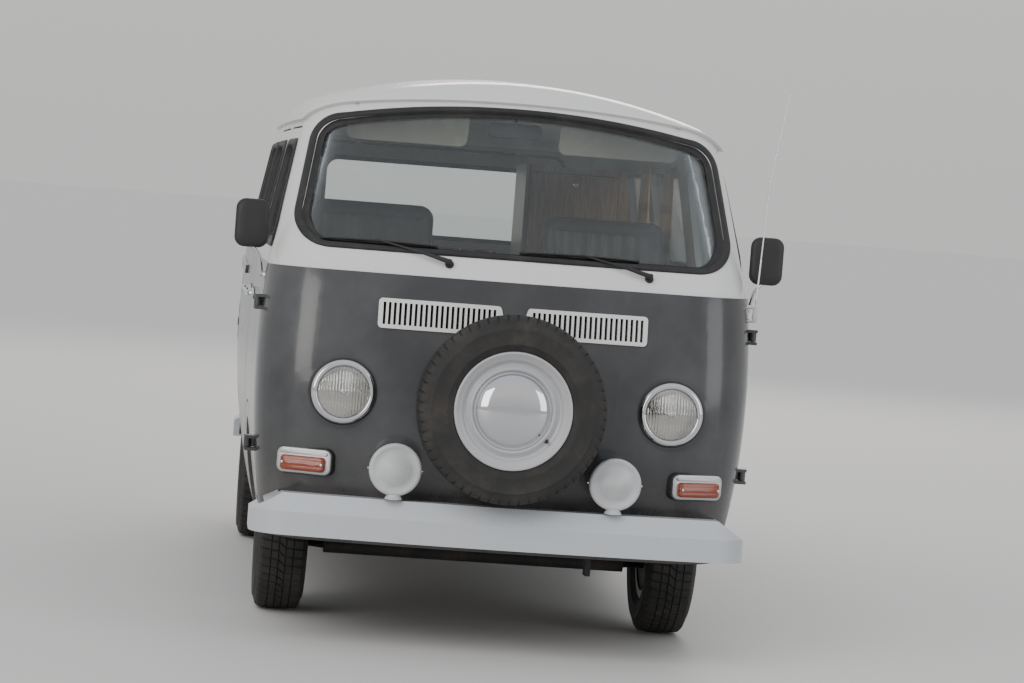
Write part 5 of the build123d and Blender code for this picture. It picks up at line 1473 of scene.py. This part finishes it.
class CAMPER_OT_steering_wheel(CamperOperator):
    """Thin two-spoke wheel with finger grips and a round horn pad"""

    bl_idname = "camper.steering_wheel"
    bl_label = "Steering wheel"

    CENTRE, AXIS = Vector((0.385, -1.4331, 1.1628)), Vector((0, 0.369, 0.929))
    RADIUS, RIM, HUB = 198, 11.5, 36
    HORN = (
        (23.5, -45), (24, -30), (30, -22), (40, -19), (45, -15), (45.5, -9), (42, -5), (40, -4.5), (38.5, -0.5),
        (30, 3.5), (15, 5.5), (0, 6),
    )

    def build(self, scene):
        form, place = Form(), pointing(self.CENTRE, self.AXIS)
        rings = []
        for i, (x, y) in enumerate(around(144)):
            ring = []
            for run, rise in around(16):
                r = self.RIM + 1.2 * cos(2 * pi * i / 4) * max(0.0, -rise)
                reach = self.RADIUS + r * run
                ring.append(within(place, reach * x, reach * y, r * rise))
            rings.append(ring)
        form.rings(rings, 0, closed=True, round_trip=True)
        form.turned(self.HORN, place, 64, 0)
        form.turned(((40, -5.5), (42.8, -4), (45.2, -5.5), (45, -8)), place, 64, 1)
        for turn in (-20, 200):
            spoke = place @ Matrix.Rotation(radians(turn), 4, "Z")
            rows = []
            for share in shares(12):
                along = self.HUB + (self.RADIUS - self.HUB) * share
                half, drop = 12.5 + 3.5 * (2 * share - 1) ** 2, 11.5 * (share**2 - 1)
                rows.append([within(spoke, along, half * x, drop + 3.4 * y) for x, y in around(14)])
            form.solid(rows)
        node, finishes = "steering_wheel", "black chrome"
        form.object("steering_wheel_rim_and_spokes", "steering_wheel", finishes, "black_plastic", 45, node)


class CAMPER_OT_dashboard(CamperOperator):
    """Dials, radio, knobs, glove box lid and grab handle on the dashboard, and the cab's levers and pedals"""

    bl_idname = "camper.dashboard"
    bl_label = "Dashboard"

    GLOVE_KNOB = ((5, 6), (5, 14), (9, 18), (7.5, 22), (0, 22.5))
    RADIO_KNOB = ((12, 5), (12, 8), (8.8, 9), (8.2, 22), (6, 24), (0, 24))
    PULL_KNOB = ((3.5, -1), (3.5, 12), (8, 14), (9.8, 20), (8, 26), (0, 27.5))
    GAITER = ((58, 0), (52, 10), (38, 28), (26, 40), (12, 52), (7.5, 55))
    GEAR_KNOB = ((0, -24), (10, -22), (16, -12), (20.5, 4), (18.5, 16), (10, 23), (0, 24.5))
    SLEEVE = ((22.5, -60), (30, -50), (31.5, 60), (34, 110), (33, 140), (24, 146))
    STALK_KNOB = ((0, -12), (6.5, -10), (8.5, 0), (7, 10), (0, 12))

    def build(self, scene):
        dash = Skin("dashboard")
        self.dials(dash)
        self.panel(dash)
        self.levers()

    def face(self, dash, x, z):
        """The dashboard's rear face at a place."""
        return pointing(*dash.at((x, -1.2, z), -BACK))

    def dials(self, dash):
        form, faces = Form(), []
        for i, (x, r) in enumerate(((0.275, 34), (0.385, 41), (0.495, 34))):
            place = self.face(dash, x, 1.221)
            form.turned(((r + 6, -2), (r + 6, 6), (r + 3.5, 9.5), (r + 1, 8.5), (r, 3)), place, 56, 0)
            form.turned(((r, 3), (0, 3)), place, 56, 1 + i)
            form.turned(((4.5, 3), (4.5, 6), (0, 6.4)), place, 20, 0)
            faces.append(dial_face(f"dial_{i + 1}", place, r / 1000))
        form.object("dial_cluster", VAN, "chrome", "chrome", 50, extra=faces)
        hood, rings = Form(), []
        for share in shares(14):
            place, rise = self.face(dash, 0.205 + 0.360 * share, 1.243), 20 * sin(pi * share) ** 0.5
            profile = ((12, -4), (20, rise * 0.5), (26, rise), (34, rise * 0.7), (40, -4))
            rings.append([within(place, 0, up, away) for up, away in profile])
        hood.rings(rings)
        hood.object("dial_hood", VAN, "dash", "black_plastic", 60)

    def panel(self, dash):
        form = Form()
        glove = self.face(dash, -0.450, 1.105)
        form.slab((372, 118, 16), glove, -4, 1.2, 1)
        form.slab((362, 108, 13), glove, 0, 7, 0, 3)
        form.turned(self.GLOVE_KNOB, moved(glove, 0, 36), 24, 2)
        radio = self.face(dash, 0.020, 1.110)
        form.slab((186, 56, 6), radio, -2, 6, 2, 1.5)
        form.slab((112, 34, 4), radio, 4, 8.2, 1, 1)
        form.slab((98, 12, 2, 4, (0, 8)), radio, 6, 9, 4, 0.5)
        for across in (-74, 74):
            form.turned(self.RADIO_KNOB, moved(radio, across), 32, 2)
        ash = self.face(dash, 0.020, 1.058)
        form.slab((118, 28, 5), ash, -2, 6, 0, 2)
        form.slab((40, 6, 2, 4, (0, 4)), ash, 5, 11, 2, 1)
        for x in (0.185, 0.235, 0.535, 0.585, 0.635):
            form.turned(self.PULL_KNOB, self.face(dash, x, 1.130), 24, 3)
        for x in (-0.140, 0.140):
            vent = self.face(dash, x, 1.226)
            form.slab((92, 34, 10), vent, -2, 4, 0, 2)
            for slat in (-10, -3.3, 3.3, 10):
                form.slab((78, 2.6, 1.2, 3, (0, slat)), vent, 3, 6.8, 1, 0.6)
        left, right = (self.face(dash, x, 1.236) for x in (-0.600, -0.330))
        out = left.col[2].to_3d()
        steps = [-out * 0.004, out * 0.026, out * 0.036 + LEFT * 0.018]
        bar = [left.translation + step for step in steps]
        bar += [right.translation + step for step in (out * 0.036 - LEFT * 0.018, steps[1], steps[0])]
        form.tube(bar, 8.5, 0, 14)
        form.object("dash_fittings", VAN, "dash black chrome knob clear", "black_plastic", 45)

    def levers(self):
        form, floor = Form(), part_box("floor_pan")[1].z
        foot = Matrix.Translation((0.020, -1.455, 0.440))
        form.turned(self.GAITER, foot, 36, 1)
        stick = ((0, 0, 45), (4, 10, 180), (18, -10, 330), (30, -30, 425))
        form.tube(stick, (7, 6.5, 6, 5.5), 0, 14, foot)
        head = moved(foot, 32, -34, 443).translation
        form.turned(self.GEAR_KNOB, pointing(head, (0.12, -0.2, 1)), 32, 1)
        column = Vector((0.385, -1.720, 0.440))
        along = (Vector((0.385, -1.450, 1.120)) - column).normalized()
        form.turned(self.SLEEVE, pointing(column + along * 0.560, along), 40, 1)
        for across, reach in ((0.150, 0.030), (-0.150, 0.012)):
            root = column + along * 0.668
            tip = root + Vector((across, 0.010, reach))
            form.tube([root, root.lerp(tip, 0.5) + Vector((0, 0.004, 0.004)), tip], (5.5, 4, 3.6), 0, 12)
            form.turned(self.STALK_KNOB, pointing(tip, tip - root), 20, 3)
        for x, width, tall in ((0.270, 66, 72), (0.395, 66, 72), (0.535, 50, 150)):
            pad = pointing(Vector((x, -1.800, floor + 0.150)), (0, 0.86, 0.5))
            form.slab((width, tall, 10), pad, -6, 6, 1, 3)
            for ridge in (-24, -12, 0, 12, 24):
                form.slab((width - 12, 4.5, 2, 3, (0, ridge)), pad, 4, 8.2, 1, 1)
            root = moved(pad, 0, 0, -4).translation
            form.tube([root, (x, -1.842, floor + 0.070), (x, -1.858, floor - 0.004)], 7.5, 2, 12)
        brake = [(0.130, -1.735, 0.900), (0.130, -1.650, 0.930), (0.130, -1.560, 0.948)]
        form.tube([(0.130, -1.760, 1.050), brake[0]], 10, 2, 14)
        form.tube(brake[:2], 8.5, 2, 14)
        form.tube(brake[1:], (12.5, 12), 1, 18)
        form.object("levers_and_pedals", VAN, "chrome black steel knob", "black_plastic", 50)


class CAMPER_OT_door_cards(CamperOperator):
    """Trim boards inside the cab doors, with lever, window crank and armrest"""

    bl_idname = "camper.door_cards"
    bl_label = "Door cards"

    def build(self, scene):
        for side, word in SIDES.items():
            skin, form = Skin(f"cab_door_{word}"), Form()

            def inner(y, z):
                return pointing(*skin.at((side * 0.4, y, z), LEFT * side))

            card = inner(-1.290, 0.975)
            form.patch(skin, (840, 330, 50, 8), card, 5, 0)
            for height in (100, 135):
                form.patch(skin, (760, 6, 2.8, 3, (0, height)), card, 6.8, 1)
            form.slab((270, 52, 22, 8), inner(-1.180, 0.905), -4, 52, 2, 14, 5)
            lever = inner(-1.010, 1.085)
            form.turned(((26, 2), (26, 6), (18, 9), (14, 18), (0, 20)), lever, 32, 1)
            form.tube([(0, 0, 14), (30, 0, 24), (100, -4, 22)], (7.5, 7, 5), 1, 14, lever)
            crank = inner(-1.500, 0.985)
            form.turned(((25, 2), (25, 6), (15, 10), (13, 22), (0, 24)), crank, 32, 1)
            form.tube([(0, 0, 18), (30, -45, 24), (50, -82, 22)], (8, 6, 6), 1, 14, crank)
            form.turned(((5.5, 0), (7, 4), (11, 16), (9.5, 26), (0, 29)), moved(crank, 50, -82, 22), 28, 3)
            form.object(f"door_card_{word}", f"{word}_cab_door", "card chrome black knob", "vinyl", 45)


class CAMPER_OT_units(CamperOperator):
    """Doors, knobs, worktop and sink lid of the fitted units"""

    bl_idname = "camper.units"
    bl_label = "Fitted units"

    AISLE, FRONT, REAR, TOP = 0.400, -0.620, 0.340, 1.180
    WARDROBE_X, WARDROBE_Y = 0.292, 0.870

    def build(self, scene):
        floor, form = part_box("camper_units")[0].z * 1000, Form()
        front = pointing(Vector((self.AISLE, (self.FRONT + self.REAR) / 2, 0)), -LEFT)
        for across in (-322, 0, 322):
            self.door(form, front, across, (floor + 1000) / 2, 306, 860 - floor)
            self.door(form, front, across, 1050, 306, 160)
        wardrobe = pointing(Vector((self.WARDROBE_X + 0.205, self.WARDROBE_Y, 0)), -BACK)
        for height, z in ((640, 1325), (500, 735)):
            self.door(form, wardrobe, 0, z, 370, height)
        form.object("unit_doors", VAN, "black wood chrome", "wood", 40)
        self.worktop()

    def door(self, form, place, across, up, wide, tall):
        """A door that stands on a unit's face, with its knob near the top."""
        form.slab((wide + 8, tall + 8, 8, 4, (across, up)), place, -2, 0.8, 0)
        form.slab((wide, tall, 6, 4, (across, up)), place, 0, 9, 1, 2)
        knob = moved(place, across, up + tall / 2 - 40, 9)
        form.turned(((5.5, -1), (5.5, 9), (12, 14), (12.5, 19), (0, 24)), knob, 24, 2)

    def worktop(self):
        centre_y = (self.FRONT + self.REAR) / 2
        wall = Skin("side_panel_left").at((0.45, centre_y, self.TOP + 0.016), LEFT)[0].x - 0.012
        wide, deep = (self.REAR - self.FRONT) * 1000 + 20, (wall - self.AISLE) * 1000 + 16
        form, board = Form(), Matrix.Translation((wall - deep / 2000, centre_y, self.TOP))
        form.slab((deep, wide, 12, 5), board, 0.4, 18, 0, 4)
        sink = moved(board, 0, -260, 18)
        form.slab((deep - 70, 340, 30, 8), sink, -2, 3.5, 1, 2.5)
        form.slab((deep - 110, 290, 24, 8), sink, 2, 6.2, 1, 2.5)
        form.turned(((14, 0), (14, 6), (10, 8), (9, 18), (0, 20)), moved(sink, 0, 0, 4), 28, 1)
        tap = moved(sink, deep / 2 - 50, 215)
        form.turned(((21, -1), (21, 4), (13, 10), (11, 60), (0, 64)), tap, 32, 2)
        spout = [(0, 0, 55), (0, 0, 120), (-20, -8, 145), (-70, -40, 146), (-90, -52, 130)]
        form.tube(spout, 6.5, 2, 14, tap)
        form.object("worktop_and_sink", VAN, "worktop steel chrome", "wood", 40)


class CAMPER_OT_curtains(CamperOperator):
    """Cotton curtains gathered at both ends of the windows behind the cab, on brass rods"""

    bl_idname = "camper.curtains"
    bl_label = "Curtains"

    WARDROBE = (0.87, 1.31)

    def build(self, scene):
        walls = {1: Skin("side_panel_left"), -1: Skin("side_panel_right", "sliding_door")}
        count = 0
        for pane in panes("side_glass"):
            ys, zs = [point.y for point, _, _ in pane], [point.z for point, _, _ in pane]
            side = 1 if pane[0][0].x > 0 else -1
            front, rear, low, high = min(ys), max(ys), min(zs), max(zs)
            if side > 0 and rear > self.WARDROBE[0] and front < self.WARDROBE[1]:
                continue
            count += 1
            rail_z = high + 0.024
            wall = walls[side].at((0, (front + rear) / 2, rail_z), LEFT * side)[0].x
            x = wall - side * 0.019
            self.rod(count, walls[side], side, x, front - 0.012, rear + 0.012, rail_z)
            bunch = (rear - front) * 0.21
            for end, start in (("front", front - 0.004), ("rear", rear + 0.004 - bunch)):
                name, rod = f"curtain_{count}_{end}", f"curtain_rod_{count}"
                self.curtain(name, x, start, start + bunch, low - 0.030, rail_z + 0.006, rod)

    def rod(self, count, wall, side, x, start, end, z):
        form = Form()
        form.tube([(x, start, z), (x, end, z)], 3.5, 0, 12)
        for y in (start, end):
            root = wall.at((0, y, z), LEFT * side)[0]
            form.tube([root + LEFT * side * 0.002, (x, y, z)], 4.5, 0, 12)
        form.object(f"curtain_rod_{count}", VAN, "steel", "chrome", 50)

    def curtain(self, name, x, start, end, low, high, rod):
        """A sheet in upright folds, tight at the rod and looser lower down."""
        folds = max(3, round((end - start) / 0.028))
        across, points = folds * 12, []
        for row, drop in enumerate(shares(18)):
            line, depth = [], 0.0075 + 0.0045 * sin(pi * min(1.0, drop * 1.4) / 2)
            if row == 1:
                depth *= 0.75
            for share in shares(across):
                turn = 2 * pi * folds * share
                sway = 0.0022 * sin(3.1 * turn / 2 + 4.0 * drop) * drop
                fold = depth * sin(turn + 0.5 * sin(2.2 * drop + share * 5.0))
                line.append((x + fold, start + (end - start) * share + sway, high + (low - high) * drop))
            points.append(line)
        form = Form()
        form.rings(points)
        piece = form.object(name, VAN, "curtain", "cloth", 80)


class CAMPER_OT_cab_top(CamperOperator):
    """Interior mirror and sun visors above the windscreen"""

    bl_idname = "camper.cab_top"
    bl_label = "Mirror and visors"

    def build(self, scene):
        head, form = Skin("nose_panel", "roof_panel"), Form()
        root, inward = head.at((0, -1.40, 1.800), (0, -1, 0.12))
        form.turned(((20, -2), (20, 3), (15, 6), (0, 7)), pointing(root, inward), 28, 0)
        hold = root + Vector((0, 0.052, -0.060))
        form.tube([root + inward * 0.003, root + Vector((0, 0.040, -0.020)), hold], 4.2, 0, 12)
        glass = pointing(hold, (-0.10, 1, -0.06))
        form.slab((190, 52, 20, 8), glass @ Matrix.Rotation(pi, 4, "Y"), -4, 10, 1, 5, 4)
        form.slab((180, 42, 16, 8), glass, 2, 5.5, 2, 0.6)
        form.object("interior_mirror", VAN, "chrome black mirror", "black_plastic", 50)
        for side, word in SIDES.items():
            visor, root = Form(), head.at((side * 0.370, -1.40, 1.790), (0, -1, 0.12))[0]
            hinge = Matrix.Translation(root + BACK * 0.030)
            blade = pointing(moved(hinge, 0, 35, -55).translation, (0, 0.86, 0.50))
            visor.slab((420, 130, 30, 8), blade, -7, 7, 0, 5, 4)
            visor.tube([(-200, 0, 0), (200, 0, 0)], 4.2, 1, 12, hinge)
            for across in (-190, 190):
                visor.tube([(across, 0, 0), (across, -50, 10)], 4.2, 1, 12, hinge)
            visor.object(f"sun_visor_{word}", VAN, "card chrome", "vinyl", 50)


class CAMPER_OT_stage(CamperOperator):
    """Pale floor, soft light and the camera"""

    bl_idname = "camper.stage"
    bl_label = "Floor, light and camera"

    CAMERA_TURN, ROLL = radians(-5.7), radians(4.4)
    AIM = Vector((0.0, -2.0, 1.055))
    VAN_PIXELS_PER_METRE, PICTURE_WIDTH = 300.0, 1024
    SKY = ((0.0, (0.78, 0.775, 0.765, 1)), (0.25, (1.0, 0.975, 0.95, 1)), (0.80, (0.90, 0.94, 1.0, 1)))
    LAMPS = (
        ("sun_light", (-5.0, -8.0, 9.0), radians(45), 1.3, (1.0, 0.98, 0.95)),
        ("key_light", (-6.5, -9.5, 3.4), 5.0, 260, (1.0, 0.97, 0.93)),
        ("fill_light", (8.0, -7.5, 3.2), 5.0, 150, (0.92, 0.96, 1.0)),
        ("rear_light", (3.0, 14.0, 9.0), 7.0, 700, (1.0, 0.93, 0.86)),
    )

    def build(self, scene):
        self.floor()
        self.world()
        self.lamps()
        self.camera(scene.camper_sizes)

    def floor(self):
        form = Form()
        form.add([(-400, -400, 0), (400, -400, 0), (400, 400, 0), (-400, 400, 0)], [(0, 1, 2, 3)])
        finish = Finish("studio_floor", Base_Color=(0.56, 0.555, 0.545), Roughness=0.60, Specular_IOR_Level=0.1)
        floor = linked("floor", form.mesh("floor"))
        floor.data.materials.append(finish.material)

    def world(self):
        world = bpy.data.worlds.new("studio")
        bpy.context.scene.world = world
        world.use_nodes = True
        nodes, link = world.node_tree.nodes, world.node_tree.links.new
        back, ramp = nodes["Background"], nodes.new("ShaderNodeValToRGB")
        place, parts = nodes.new("ShaderNodeTexCoord"), nodes.new("ShaderNodeSeparateXYZ")
        back.inputs["Strength"].default_value = 0.85
        stops = ramp.color_ramp.elements
        stops.new(0.25)
        for stop, (position, tint) in zip(stops, self.SKY):
            stop.position, stop.color = position, tint
        link(place.outputs["Generated"], parts.inputs[0])
        link(parts.outputs[2], ramp.inputs[0])
        link(ramp.outputs[0], back.inputs["Color"])

    def lamps(self):
        for name, at, size, power, tint in self.LAMPS:
            sun = name == "sun_light"
            data = bpy.data.lights.new(name, "SUN" if sun else "AREA")
            setattr(data, "angle" if sun else "size", size)
            data.energy, data.color = power, tint
            lamp = linked(name, data)
            lamp.visible_glossy = not sun
            lamp.location = at
            lamp.rotation_euler = (Vector((0, 0, 0.9)) - Vector(at)).to_track_quat("-Z", "Y").to_euler()

    def camera(self, sizes):
        data = bpy.data.cameras.new("camera")
        camera, reach, turn = linked("camera", data), sizes.camera_distance, self.CAMERA_TURN
        camera.location = (sin(turn) * reach, NOSE - cos(turn) * reach, sizes.camera_height)
        aim = (self.AIM - camera.location).to_track_quat("-Z", "Y")
        camera.rotation_euler = (aim.to_matrix().to_4x4() @ Matrix.Rotation(self.ROLL, 4, "Z")).to_euler()
        data.lens = self.VAN_PIXELS_PER_METRE * reach / self.PICTURE_WIDTH * data.sensor_width
        data.clip_end = 200
        bpy.context.scene.camera = camera


PIECES = tuple(CamperOperator.__subclasses__())  # In the order they are written, the stage last


class CAMPER_PT_dressing(bpy.types.Panel):
    """Lists the pieces in the order they are built"""

    bl_label = "Camper van"
    bl_space_type = "VIEW_3D"
    bl_region_type = "UI"
    bl_category = "Camper"

    def draw(self, context):
        for piece in PIECES:
            self.layout.operator(piece.bl_idname)
        for group in (context.scene.camper_sizes, context.scene.camper_colours):
            for name in group.__annotations__:
                self.layout.prop(group, name)


CLASSES = (CamperSizes, CamperColours, *PIECES, CAMPER_PT_dressing)


def register():
    for cls in CLASSES:
        bpy.utils.register_class(cls)
    bpy.types.Scene.camper_sizes = PointerProperty(type=CamperSizes)
    bpy.types.Scene.camper_colours = PointerProperty(type=CamperColours)


def unregister():
    del bpy.types.Scene.camper_colours
    del bpy.types.Scene.camper_sizes
    for cls in reversed(CLASSES):
        bpy.utils.unregister_class(cls)


def main():
    register()
    for piece in PIECES:
        group, name = piece.bl_idname.split(".")
        getattr(getattr(bpy.ops, group), name)()


if __name__ == "__main__":
    main()
